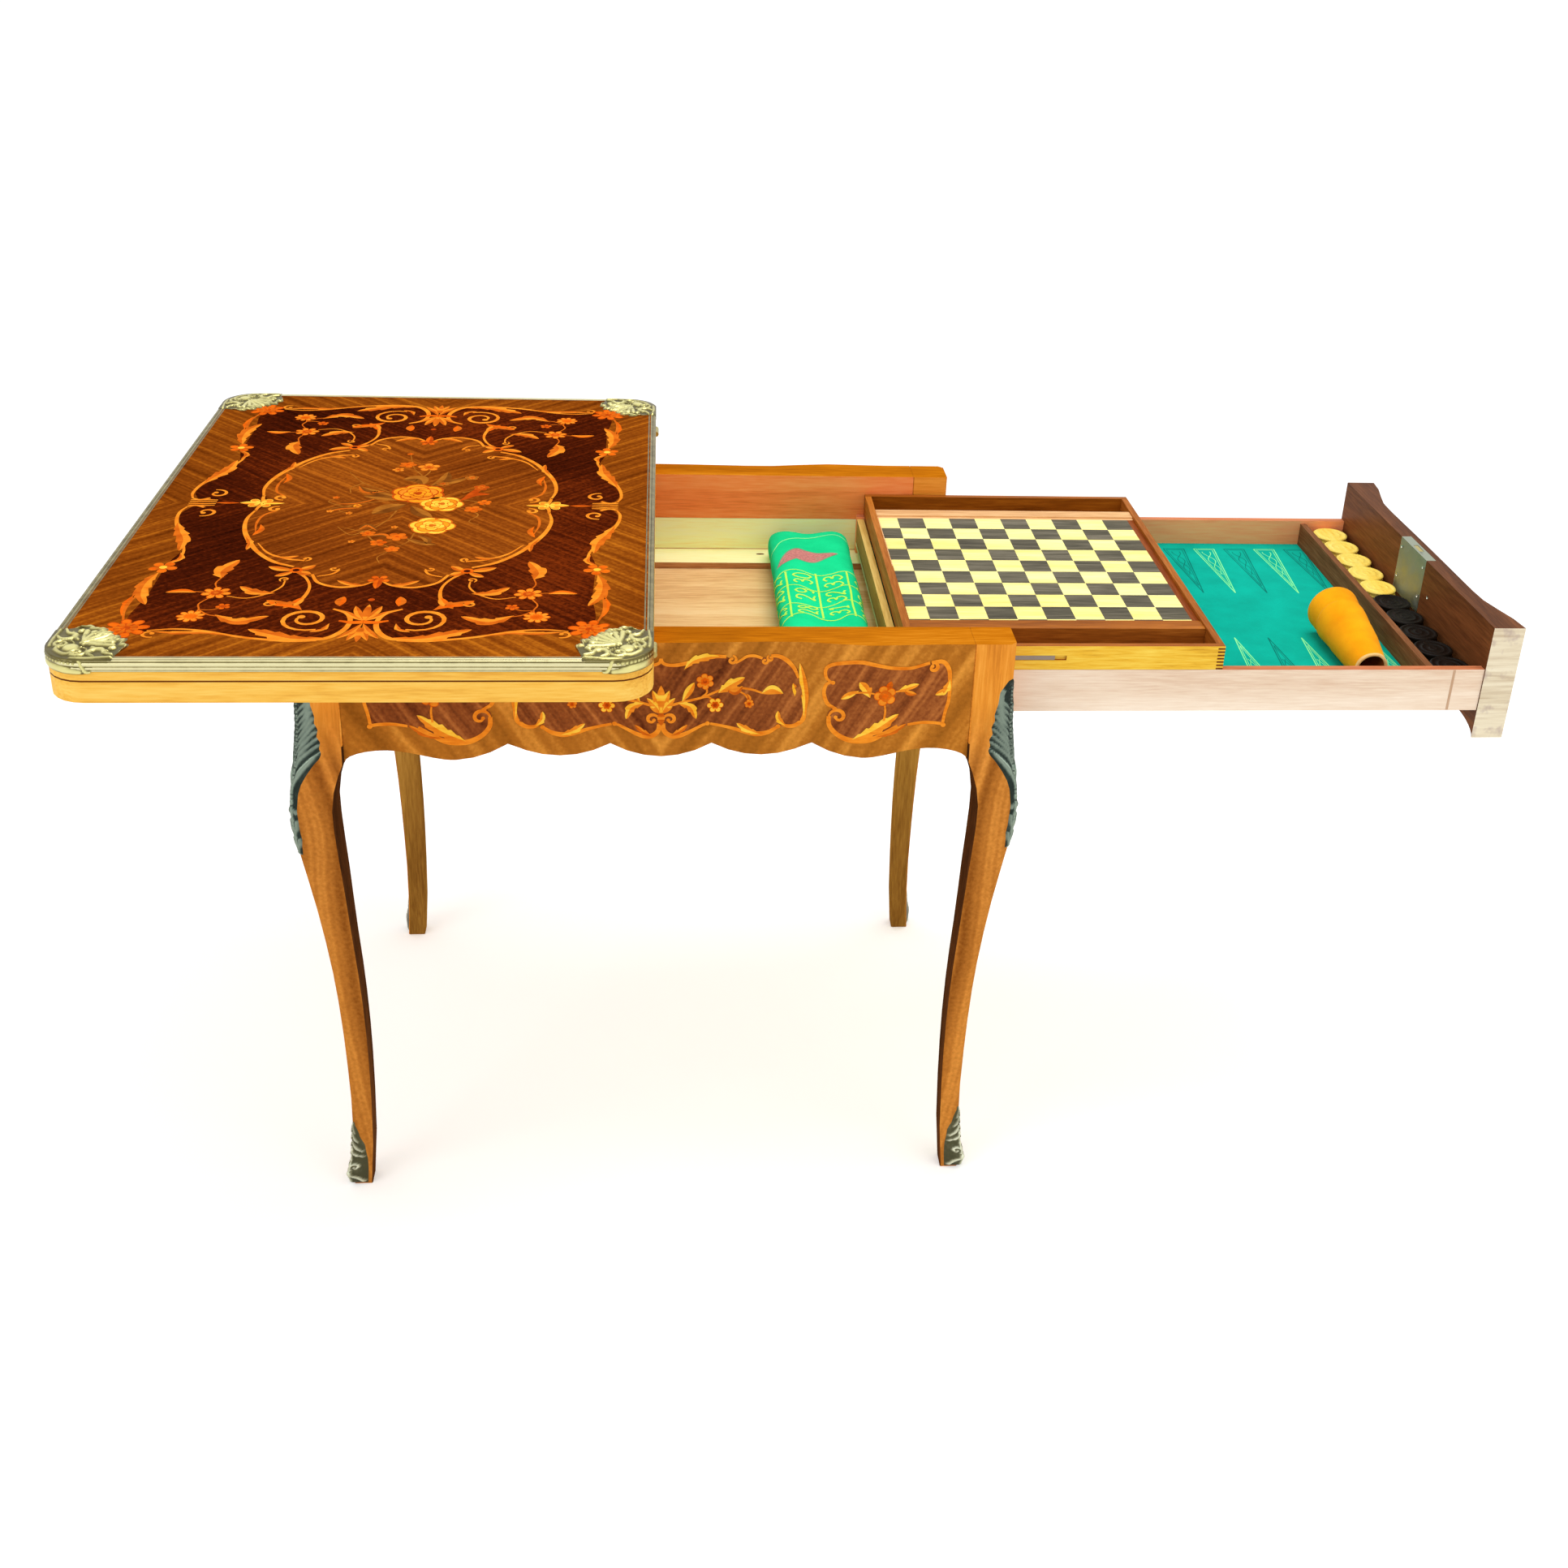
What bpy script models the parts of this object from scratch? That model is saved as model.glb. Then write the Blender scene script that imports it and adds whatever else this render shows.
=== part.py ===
"""A marquetry games table in the Louis XV manner, shown as it is opened for play.

The folded top is turned a quarter turn off its frieze, the backgammon drawer is
pulled out to the right, and the draughts tray lies across the drawer's rims.
Metres, +Z up, +X along the drawer, front towards -Y. Lengths are laid out from
the middle of the base, and the whole hangs on one empty that centres its box.
"""

import bpy
import bmesh
from math import cos, hypot, pi, radians, sin, sqrt
from mathutils import Matrix, Vector

# Clearances
GAP = 0.0003
TURN_GAP = 0.0004
FOLD_GAP = 0.0002
SLIDE_GAP = 0.0023
FRONT_GAP = 0.0008
BACK_ROOM = 0.0040
BORE_GAP = 0.0003
OVERRUN = 0.0040

# Folding top
TABLE_HEIGHT = 0.7600
LEAF_THICK = 0.0223
TOP_LENGTH = 0.8320
TOP_WIDTH = 0.5693
TOP_CORNER_RADIUS = 0.0380
PIVOT_OFFSET = 0.1460
BAIZE_BORDER = 0.0340
BAIZE_THICK = 0.0010
BAIZE_CORNER_RADIUS = 0.0120

# Brass on the top
MOULDING_HEIGHT = 0.0120
MOULDING_WIDTH = 0.0080
MOULDING_ROUND = 0.0030
CORNER_MOUNT_REACH = 0.0760
CORNER_MOUNT_PROUD = 0.0022
CORNER_MOUNT_RISE = 0.0040
CORNER_MOUNT_DROP = 0.0145

# Card hinges of the top
HINGE_RADIUS = 0.0035
HINGE_PIN_RADIUS = 0.0012
HINGE_KNUCKLE = 0.0080
HINGE_FROM_END = 0.0710
HINGE_STRAP = 0.0085
HINGE_STRAP_THICK = 0.0018

# Swivel between the top and its cross rail
SWIVEL_PLATE = 0.0800
SWIVEL_PLATE_THICK = 0.0030
PIVOT_RADIUS = 0.0060
PIVOT_HEAD_RADIUS = 0.0110
PIVOT_HEAD_THICK = 0.0030
PIVOT_NUT_RADIUS = 0.0105
PIVOT_NUT_THICK = 0.0060
PIVOT_NUT_LIFT = 0.0010
PIVOT_RAIL_WIDTH = 0.0700
PIVOT_RAIL_CLEAR = 0.0036

# Base frame
BASE_LENGTH = 0.7510
BASE_DEPTH = 0.5656
POST = 0.0445
POST_CHAMFER = 0.0060
POST_EASE = 0.0012
FRIEZE_CUSP_DEPTH = 0.1185
FRIEZE_ARCH_DEPTH = 0.1235
FRIEZE_FOOT_DEPTH = 0.1380
LOBE_SAG = 0.0155
LOBE_WIDTH = 0.1075
END_LOBE_WIDTH = 0.1200
ARCH_INSET = 0.0445
SERPENTINE = 0.0066
END_HOLLOW = 0.0170

# Well of the base
WELL_DEPTH = 0.1120
FLOOR_THICK = 0.0045
FLOOR_END_ROOM = 0.0020
RUNNER_WIDTH = 0.0480
RUNNER_THICK = 0.0081
GUIDE_HEIGHT = 0.0520
GUIDE_THICK = 0.0040
BEARER_WIDTH = 0.0370
BEARER_HEIGHT = 0.0070

# Bronze on the legs
KNEE_MOUNT_TOP_DEPTH = 0.0430
KNEE_MOUNT_LENGTH = 0.2030
KNEE_MOUNT_WIDTH = 0.0270
KNEE_MOUNT_EDGE = 0.0014
KNEE_MOUNT_RIDGE = 0.0042
SABOT_HEIGHT = 0.0860
SABOT_LIFT = 0.0015
SABOT_WIDTH = 0.0180
SABOT_EDGE = 0.0014
SABOT_TOE = 0.0110

# Drawer
DRAWER_HOLD = 0.0740
DRAWER_SIDE_HEIGHT = 0.0510
DRAWER_SIDE_THICK = 0.0100
DRAWER_BACK_THICK = 0.0090
DRAWER_BACK_DROP = 0.0024
DRAWER_FRONT_THICK = 0.0365
DRAWER_FRONT_DROP = 0.0005
DRAWER_BOTTOM_THICK = 0.0045
DRAWER_BOTTOM_RISE = 0.0116
DRAWER_FELT_THICK = 0.0010
DIVIDER_THICK = 0.0080
DIVIDER_DROP = 0.0040
PIECE_BAY = 0.0530

# Lock
LOCK_WIDTH = 0.0800
LOCK_HEIGHT = 0.0690
LOCK_THICK = 0.0120
BOLT_WIDTH = 0.0200
BOLT_THICK = 0.0050
BOLT_HEIGHT = 0.0135
BOLT_TRAVEL = 0.0060
STRIKE_LENGTH = 0.0600
STRIKE_WIDTH = 0.0160
STRIKE_THICK = 0.0015
STRIKE_SLOT_GAP = 0.0015
ESCUTCHEON_HEIGHT = 0.0460
ESCUTCHEON_WIDTH = 0.0300
ESCUTCHEON_THICK = 0.0020
KEYHOLE_RADIUS = 0.0026
KEYHOLE_SLOT = 0.0090
KEYHOLE_SLOT_WIDTH = 0.0028

# Game pieces
CHECKER_RADIUS = 0.0226
CHECKER_THICK = 0.0085
CHECKER_GROOVE = 0.0010
CHECKERS_IN_STACK = 3
STACKS_OF_A_COLOUR = 5
CUP_LENGTH = 0.1500
CUP_BASE_RADIUS = 0.0310
CUP_MOUTH_RADIUS = 0.0268
CUP_WALL = 0.0028
CUP_BASE_THICK = 0.0050
CUP_TURN = radians(-93.0)
CUP_FROM_FRONT = 0.1170
CUP_ASIDE = 0.0620

# Tray
TRAY_LENGTH = 0.3523
TRAY_HEIGHT = 0.0282
TRAY_WALL = 0.0080
TRAY_OVERLAP = 0.0096
TRAY_BOTTOM_THICK = 0.0050
TRAY_BOARD_THICK = 0.0060
TRAY_BOARD_DROP = 0.0040
TRAY_LIP = 0.0200
TRAY_LIP_DROP = 0.0020
TRAY_TROUGH = 0.0430
TRAY_BAR_LENGTH = 0.1620
TRAY_BAR_HEIGHT = 0.0050
TRAY_BAR_THICK = 0.0026
TRAY_GROOVE_SPARE = 0.0130
TRAY_GROOVE_TOP = 0.0113

# Folded gaming cloth
CLOTH_WIDTH = 0.1080
CLOTH_END_ROOM = 0.0233
CLOTH_HEIGHT = 0.0410
CLOTH_FROM_DRAWER = 0.0120

# Levels that follow from those sizes
TOP_JOINT_Z = TABLE_HEIGHT - LEAF_THICK
TOP_UNDER_Z = TOP_JOINT_Z - LEAF_THICK
FRIEZE_TOP = TOP_UNDER_Z - TURN_GAP
FLOOR_Z = FRIEZE_TOP - WELL_DEPTH
RUNNER_TOP = FLOOR_Z + GAP + RUNNER_THICK
DRAWER_SIDE_Z = RUNNER_TOP + GAP
DRAWER_RIM_Z = DRAWER_SIDE_Z + DRAWER_SIDE_HEIGHT
DRAWER_BOTTOM_Z = DRAWER_SIDE_Z + DRAWER_BOTTOM_RISE
DRAWER_BED_Z = DRAWER_BOTTOM_Z + DRAWER_BOTTOM_THICK + GAP
DRAWER_FELT_Z = DRAWER_BED_Z + DRAWER_FELT_THICK
DRAWER_FRONT_Z = FRIEZE_TOP - DRAWER_FRONT_DROP
TRAY_Z = DRAWER_RIM_Z + GAP
TRAY_TOP_Z = TRAY_Z + TRAY_HEIGHT
PIVOT_RAIL_Z = TRAY_TOP_Z + PIVOT_RAIL_CLEAR

# Places in plan that follow from those sizes
BASE_X = BASE_LENGTH / 2
BASE_Y = BASE_DEPTH / 2
WELL_X = BASE_X - POST
WELL_Y = BASE_Y - POST
FLOOR_X1 = BASE_X - DRAWER_FRONT_THICK - FLOOR_END_ROOM
TOP_X1 = TOP_WIDTH / 2 - 2 * PIVOT_OFFSET
TOP_X0 = TOP_X1 - TOP_WIDTH
TOP_Y1 = TOP_LENGTH / 2
PIVOT_X = -PIVOT_OFFSET
PIVOT_Y = PIVOT_OFFSET
HINGE_X = TOP_X1 + FOLD_GAP
HINGE_PLACE = TOP_Y1 - HINGE_FROM_END
SLIDE_Y = WELL_Y - SLIDE_GAP
DRAWER_TRAVEL = 2 * WELL_X - BACK_ROOM - DRAWER_HOLD
DRAWER_FACE_X = BASE_X + DRAWER_TRAVEL
DRAWER_INNER_X = DRAWER_FACE_X - DRAWER_FRONT_THICK
DRAWER_BACK_X = DRAWER_TRAVEL - WELL_X + BACK_ROOM
DRAWER_HALF = SLIDE_Y - DRAWER_SIDE_THICK - GAP
DIVIDER_X1 = DRAWER_INNER_X - PIECE_BAY
DIVIDER_X0 = DIVIDER_X1 - DIVIDER_THICK
BOLT_X = DRAWER_INNER_X + LOCK_THICK / 2
TRAY_X0 = DRAWER_BACK_X + TRAY_OVERLAP
TRAY_X1 = TRAY_X0 + TRAY_LENGTH
CLOTH_LENGTH = 2 * (WELL_Y - CLOTH_END_ROOM)
TABLE_X0 = TOP_X0 - CORNER_MOUNT_PROUD
TABLE_MIDDLE_X = (TABLE_X0 + DRAWER_FACE_X) / 2

# Leg profile from the sole up: height as a share of the frieze top, swing of the
# outer corner as a share of LEG_SWING, and thickness as a share of POST
LEG_SWING = 0.0205
LEG_SHARES = (
    (0.000, -0.51, 0.520), (0.042, -0.61, 0.528), (0.084, -0.70, 0.540),
    (0.168, -0.76, 0.556), (0.238, -0.73, 0.589), (0.300, -0.68, 0.614),
    (0.364, -0.59, 0.638), (0.420, -0.47, 0.664), (0.483, -0.28, 0.705),
    (0.545, -0.05, 0.775), (0.601, 0.20, 0.862), (0.650, 0.43, 0.933),
    (0.700, 0.60, 0.982), (0.735, 0.64, 1.000), (0.765, 0.56, 1.027),
    (0.790, 0.42, 1.083), (0.807, 0.31, 1.142), (0.867, 0.07, 1.030),
    (0.923, 0.00, 1.000), (1.000, 0.00, 1.000),
)
# Knee mount from its foot up: height along it, its reach round each face and its
# ridge, as shares of its length, width and thickness
KNEE_SHARES = (
    (0.00, 0.12, 0.45), (0.05, 0.24, 0.8), (0.12, 0.28, 1.0), (0.28, 0.26, 1.0),
    (0.38, 0.30, 1.0), (0.47, 0.44, 1.0), (0.53, 0.72, 1.0), (0.585, 1.00, 1.0),
    (0.66, 0.82, 1.0), (0.73, 0.67, 1.0), (0.87, 0.50, 1.0), (1.00, 0.34, 0.7),
)
# Sabot from its toe up, in the same way
SABOT_SHARES = (
    (0.00, 1.00, 0.50), (0.08, 1.00, 0.66), (0.16, 1.00, 1.00), (0.24, 0.99, 0.90),
    (0.40, 0.94, 0.52), (0.56, 0.80, 0.42), (0.68, 0.62, 0.36), (0.80, 0.40, 0.28),
    (0.91, 0.22, 0.20), (1.00, 0.13, 0.12),
)
# Outer face of the long friezes and of the end ones, from the middle to a post:
# place as a share of the half length, and how far it stands out as a share of
# SERPENTINE or END_HOLLOW
SERPENTINE_SHARES = ((0.0, -0.48), (0.40, -1.0), (0.68, 0.50), (0.86, 0.0), (1.0, 0.0))
HOLLOW_SHARES = ((0.0, -0.96), (0.62, -1.0), (0.80, -0.56), (0.93, -0.06), (1.0, 0.0))
# Section of the folded cloth, from the right of its underside round to the left:
# shares of its half width and of its height
CLOTH_SECTION_SHARES = (
    (0.80, 0.00), (0.95, 0.12), (1.00, 0.34), (0.99, 0.62), (0.90, 0.86), (0.66, 0.97),
    (0.20, 1.00), (-0.30, 0.97), (-0.72, 0.94), (-0.93, 0.82), (-0.99, 0.58),
    (-0.97, 0.30), (-0.90, 0.09), (-0.76, 0.00),
)
# Swell of the cloth along its length, from the front: place and size, as shares
CLOTH_LENGTH_SHARES = (
    (0.00, 0.90), (0.03, 0.97), (0.16, 1.00), (0.42, 0.97), (0.60, 1.00), (0.80, 0.98),
    (0.97, 0.97), (1.00, 0.90),
)
MOULDING_EASE_SHARE = 0.3
MOUNT_CREST_SHARE = 0.8
ESCUTCHEON_WAVE_SHARE = 0.1
HINGE_STRAP_START_SHARE = 0.33

ARC_STEPS = 6
LOBE_STEPS = 6
PLAN_STEPS = 18
ROUND_SIDES = 16
FINE_SIDES = 20
PIN_SIDES = 10
NUT_SIDES = 6
CUP_SIDES = 24
STACK_SIDES = 12
ESCUTCHEON_LOBES = 8
CORNERS = (
    ("front_left", -1, -1),
    ("front_right", 1, -1),
    ("back_left", -1, 1),
    ("back_right", 1, 1),
)
SIDES = (("front", -1), ("back", 1))
ALONG = {
    "Z": Matrix.Identity(4),
    "X": Matrix.Rotation(pi / 2, 4, "Y"),
    "Y": Matrix.Rotation(-pi / 2, 4, "X"),
}
SECTION_ALONG_X = Matrix.Rotation(pi / 2, 4, "Z") @ Matrix.Rotation(pi / 2, 4, "X")


def clear_scene():
    """Starts from an empty file."""
    for obj in list(bpy.data.objects):
        bpy.data.objects.remove(obj, do_unlink=True)


def collection(name):
    """A new collection of the scene."""
    made = bpy.data.collections.new(name)
    bpy.context.scene.collection.children.link(made)
    return made


def material(name, colour, roughness, metallic=0.0):
    """A plain Principled material."""
    made = bpy.data.materials.new(name)
    made.use_nodes = True
    shader = made.node_tree.nodes["Principled BSDF"]
    shader.inputs["Base Color"].default_value = (*colour, 1.0)
    shader.inputs["Roughness"].default_value = roughness
    shader.inputs["Metallic"].default_value = metallic
    made.diffuse_color = (*colour, 1.0)
    return made


def hang(obj, parent):
    """Hangs an object on an empty, and leaves its location as it was laid out from the base's middle."""
    obj.parent = parent
    obj.matrix_parent_inverse = Matrix.Translation(-parent.location)


def axis_empty(name, place, parent):
    """An empty on a joint's axis."""
    made = bpy.data.objects.new(name, None)
    table.objects.link(made)
    made.empty_display_size = POST
    made.location = place
    hang(made, parent)
    return made


def stand(name, mesh, group, parent):
    """Makes an object of a mesh that is laid out in place, with its origin at the middle of its box."""
    axes = zip(*(vert.co for vert in mesh.vertices))
    middle = Vector([(min(values) + max(values)) / 2 for values in axes])
    mesh.transform(Matrix.Translation(-middle))
    made = bpy.data.objects.new(name, mesh)
    group.objects.link(made)
    made.location = middle
    hang(made, parent)
    return made


def add(name, mesh, look, parent):
    """Puts a mesh in the table as one named piece."""
    mesh.materials.append(look)
    return stand(name, mesh, table, parent)


def cut(obj, mesh, label, operation="DIFFERENCE"):
    """Cuts a piece with a mesh, or joins one to it."""
    tool = stand(f"{obj.name}_{label}", mesh, cutters, obj.parent)
    tool.hide_render = True
    tool.display_type = "WIRE"
    boolean = obj.modifiers.new(label, "BOOLEAN")
    boolean.operation = operation
    boolean.solver = "EXACT"
    boolean.object = tool


def finished(bm, name):
    """Turns a bmesh into a mesh whose faces point out."""
    bmesh.ops.recalc_face_normals(bm, faces=bm.faces)
    mesh = bpy.data.meshes.new(name)
    bm.to_mesh(mesh)
    bm.free()
    return mesh


def box_mesh(*boxes):
    """Boxes, each a pair of its low and high corners."""
    bm = bmesh.new()
    for low, high in boxes:
        low, high = Vector(low), Vector(high)
        verts = bmesh.ops.create_cube(bm, size=1.0)["verts"]
        bmesh.ops.scale(bm, vec=high - low, verts=verts)
        bmesh.ops.translate(bm, vec=(low + high) / 2, verts=verts)
    return finished(bm, "box")


def side_box(x0, x1, y_a, y_b, z0, z1):
    """A box whose two places across may come in either order."""
    return box_mesh(((x0, min(y_a, y_b), z0), (x1, max(y_a, y_b), z1)))


def disc_mesh(place, radius, length, axis="Z", sides=ROUND_SIDES):
    """A cylinder that starts at a place and runs along an axis."""
    bm = bmesh.new()
    where = Matrix.Translation(Vector(place)) @ ALONG[axis] @ Matrix.Translation((0, 0, length / 2))
    bmesh.ops.create_cone(
        bm, cap_ends=True, segments=sides, radius1=radius, radius2=radius, depth=length, matrix=where
    )
    return finished(bm, "disc")


def joined(*meshes):
    """Meshes put into one, as they are."""
    bm = bmesh.new()
    for mesh in meshes:
        bm.from_mesh(mesh)
        bpy.data.meshes.remove(mesh)
    return finished(bm, "joined")


def outline_mesh(points, low, high, turn=None):
    """A flat outline given thickness between two levels, then turned."""
    curve = bpy.data.curves.new("outline", "CURVE")
    curve.dimensions = "2D"
    curve.fill_mode = "BOTH"
    curve.extrude = (high - low) / 2
    spline = curve.splines.new("POLY")
    spline.points.add(len(points) - 1)
    for point, (x, y) in zip(spline.points, points):
        point.co = (x, y, 0, 1)
    spline.use_cyclic_u = True
    holder = bpy.data.objects.new("outline", curve)
    bpy.context.scene.collection.objects.link(holder)
    seen = holder.evaluated_get(bpy.context.evaluated_depsgraph_get())
    flat = bpy.data.meshes.new_from_object(seen)
    bpy.data.objects.remove(holder)
    bpy.data.curves.remove(curve)
    bm = bmesh.new()
    bm.from_mesh(flat)
    bpy.data.meshes.remove(flat)
    bmesh.ops.remove_doubles(bm, verts=bm.verts, dist=GAP / 10)
    bmesh.ops.translate(bm, vec=(0, 0, (low + high) / 2), verts=bm.verts)
    if turn:
        bm.transform(turn)
    return finished(bm, "outline")


def loft_mesh(rings, closed=False):
    """A solid through rings of equal counts, capped at both ends or closed on itself."""
    bm = bmesh.new()
    rows = [[bm.verts.new(point) for point in ring] for ring in rings]
    following = rows[1:] + rows[:1] if closed else rows[1:]
    for lower, upper in zip(rows, following):
        for i, vert in enumerate(lower):
            after = (i + 1) % len(lower)
            bm.faces.new((vert, lower[after], upper[after], upper[i]))
    if not closed:
        bm.faces.new(rows[0])
        bm.faces.new(rows[-1])
    return finished(bm, "loft")


def turned(name, profile, look, parent, place, direction, sides):
    """A turned piece, from a half profile that starts and ends on its axis and runs down its outer side."""
    bm = bmesh.new()
    verts = [bm.verts.new((radius, 0, height)) for radius, height in profile]
    for start, end in zip(verts, verts[1:]):
        bm.edges.new((start, end))
    mesh = bpy.data.meshes.new(name)
    bm.to_mesh(mesh)
    bm.free()
    mesh.materials.append(look)
    made = bpy.data.objects.new(name, mesh)
    table.objects.link(made)
    made.location = place
    made.rotation_euler = Vector(direction).to_track_quat("Z", "X").to_euler()
    hang(made, parent)
    screw = made.modifiers.new("turn", "SCREW")
    screw.steps = sides
    screw.render_steps = sides
    screw.use_merge_vertices = True
    screw.merge_threshold = GAP / 10
    return made


def smooth(obj):
    """Shades the round faces smooth and keeps the edges."""
    obj.data.shade_smooth()
    obj.data.set_sharp_from_angle(angle=radians(35))


def round_rect(x0, y0, x1, y1, radius):
    """A rectangle with round corners, as an outline."""
    centres = (
        (x1 - radius, y1 - radius), (x0 + radius, y1 - radius),
        (x0 + radius, y0 + radius), (x1 - radius, y0 + radius),
    )
    points = []
    for quarter, (x, y) in enumerate(centres):
        for step in range(ARC_STEPS + 1):
            angle = (quarter + step / ARC_STEPS) * pi / 2
            points.append((x + radius * cos(angle), y + radius * sin(angle)))
    return points


def eased(shares, place):
    """Reads a table of shares at a place, turning softly at each of its points."""
    for (start, low), (end, high) in zip(shares, shares[1:]):
        if place <= end:
            part = (1 - cos(pi * (place - start) / (end - start))) / 2
            return low + (high - low) * part
    return shares[-1][1]


def linear(shares, place, column=1):
    """Reads a column of a table of shares at a place, along straight lines."""
    for lower, upper in zip(shares, shares[1:]):
        if place <= upper[0]:
            part = (place - lower[0]) / (upper[0] - lower[0])
            return lower[column] + (upper[column] - lower[column]) * part
    return shares[-1][column]


def scallops(half, lobe):
    """The shaped lower edge of a frieze, from one post to the other, as (along, level) points.

    Full lobes hang between cusps about the middle. A half lobe then runs into the
    arch beside each post, whose curve the leg takes over.
    """
    cusp = FRIEZE_TOP - FRIEZE_CUSP_DEPTH
    arch = FRIEZE_TOP - FRIEZE_ARCH_DEPTH
    foot = FRIEZE_TOP - FRIEZE_FOOT_DEPTH
    arch_at = half - ARCH_INSET
    lobes_aside = max(int((arch_at - lobe) / lobe), 0)
    low_at = (lobes_aside + 1) * lobe
    half_steps = LOBE_STEPS // 2
    side = []
    for index in range(lobes_aside + 2):
        first = -half_steps if index else 0
        last = half_steps if index <= lobes_aside else 0
        for step in range(first, last):
            share = step / half_steps
            side.append((index * lobe + share * lobe / 2, cusp - LOBE_SAG * (1 - share * share)))
    for step in range(LOBE_STEPS):
        rise = (1 - cos(pi * step / LOBE_STEPS)) / 2
        along = low_at + (arch_at - low_at) * step / LOBE_STEPS
        side.append((along, cusp - LOBE_SAG + (arch - cusp + LOBE_SAG) * rise))
    for step in range(LOBE_STEPS + 1):
        turn = pi / 2 * step / LOBE_STEPS
        side.append((arch_at + ARCH_INSET * sin(turn), foot + (arch - foot) * cos(turn)))
    return [(-along, level) for along, level in reversed(side[1:])] + side


def add_frieze(name, half, shares, depth, thick, lobe, top, look, parent, where):
    """A shaped rail, the same from its middle both ways, with its lower edge cut.

    It is laid out along X with its outer face towards -Y at zero, and then moved.
    """
    plan = [(half, thick), (-half, thick)]
    for step in range(PLAN_STEPS + 1):
        along = 2 * step / PLAN_STEPS - 1
        plan.append((half * along, -depth * eased(shares, abs(along))))
    rail = outline_mesh(plan, FRIEZE_TOP - 2 * FRIEZE_FOOT_DEPTH, top)
    edge = scallops(half, lobe)
    below = FRIEZE_TOP - 3 * FRIEZE_FOOT_DEPTH
    beyond = half + OVERRUN
    level = edge[0][1]
    below_edge = [(-beyond, below), (-beyond, level), *edge, (beyond, level), (beyond, below)]
    upright = Matrix.Rotation(pi / 2, 4, "X")
    knife = outline_mesh(below_edge, -thick - OVERRUN, depth + OVERRUN, upright)
    rail.transform(where)
    knife.transform(where)
    made = add(name, rail, look, parent)
    cut(made, knife, "lower_edge")
    return made


def leg_size(height):
    """How far the leg's outer corner stands out of the post's at a height, and its thickness there."""
    share = height / FRIEZE_TOP
    return LEG_SWING * linear(LEG_SHARES, share), POST * linear(LEG_SHARES, share, 2)


def corner_ring(section, height, swing, side_x, side_y):
    """Places a section, measured inwards from the leg's outer corner, round that corner."""
    return [(side_x * (BASE_X + swing - u), side_y * (BASE_Y + swing - v), height) for u, v in section]


def add_leg(name, side_x, side_y):
    """A cabriole leg and the post above it in one piece, with a chamfer down its outer corner."""
    rings = []
    ease = POST_EASE
    for share, _, _ in LEG_SHARES:
        height = share * FRIEZE_TOP
        swing, thick = leg_size(height)
        broad = POST_CHAMFER * thick / POST
        section = (
            (broad, 0), (thick - ease, 0), (thick, ease), (thick, thick - ease),
            (thick - ease, thick), (ease, thick), (0, thick - ease), (0, broad),
        )
        rings.append(corner_ring(section, height, swing, side_x, side_y))
    smooth(add(f"leg_{name}", loft_mesh(rings), wood_leg, root))


def wrap_mesh(base_z, length, width, edge, ridge, shares, side_x, side_y):
    """A casting that lies round the outer corner of a leg and follows it upwards."""
    heights = {base_z + share * length for share, _, _ in shares}
    for share, _, _ in LEG_SHARES:
        height = share * FRIEZE_TOP
        if base_z + GAP < height < base_z + length - GAP:
            heights.add(height)
    rings = []
    for height in sorted(heights):
        part = (height - base_z) / length
        reach = width * linear(shares, part)
        swing, thick = leg_size(height)
        outer = GAP + ridge * linear(shares, part, 2)
        broad = min(POST_CHAMFER * thick / POST, reach - GAP)
        near = broad - GAP * (sqrt(2) - 1)
        crest = outer * MOUNT_CREST_SHARE
        section = (
            (reach, -GAP), (near, -GAP), (-GAP, near), (-GAP, reach), (-GAP - edge, reach),
            (-outer, near), (-crest, -crest), (near, -outer), (reach, -GAP - edge),
        )
        rings.append(corner_ring(section, height, swing, side_x, side_y))
    return loft_mesh(rings)


def add_leg_bronzes(name, side_x, side_y):
    """The chute on a leg's knee and the sabot on its foot."""
    base_z = FRIEZE_TOP - KNEE_MOUNT_TOP_DEPTH - KNEE_MOUNT_LENGTH
    chute = wrap_mesh(
        base_z, KNEE_MOUNT_LENGTH, KNEE_MOUNT_WIDTH, KNEE_MOUNT_EDGE, KNEE_MOUNT_RIDGE,
        KNEE_SHARES, side_x, side_y,
    )
    smooth(add(f"knee_mount_{name}", chute, bronze, root))
    shoe = wrap_mesh(
        SABOT_LIFT, SABOT_HEIGHT, SABOT_WIDTH, SABOT_EDGE, SABOT_TOE, SABOT_SHARES, side_x, side_y
    )
    smooth(add(f"sabot_{name}", shoe, bronze, root))


def add_long_frieze(name, side):
    """The front or the back frieze, with a rabbet for the drawer's guide."""
    half = WELL_X - GAP
    facing = Matrix.Rotation(0 if side < 0 else pi, 4, "Z")
    rail = add_frieze(
        f"frieze_{name}", half, SERPENTINE_SHARES, SERPENTINE, POST, LOBE_WIDTH, FRIEZE_TOP,
        wood_frieze, root, Matrix.Translation((0, side * BASE_Y, 0)) @ facing,
    )
    rabbet = side_box(
        -half - OVERRUN, half + OVERRUN, side * (WELL_Y - OVERRUN), side * (WELL_Y + GUIDE_THICK + GAP),
        FLOOR_Z - FLOOR_THICK - GAP, FLOOR_Z + GUIDE_HEIGHT + GAP,
    )
    cut(rail, rabbet, "rabbet")


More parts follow.
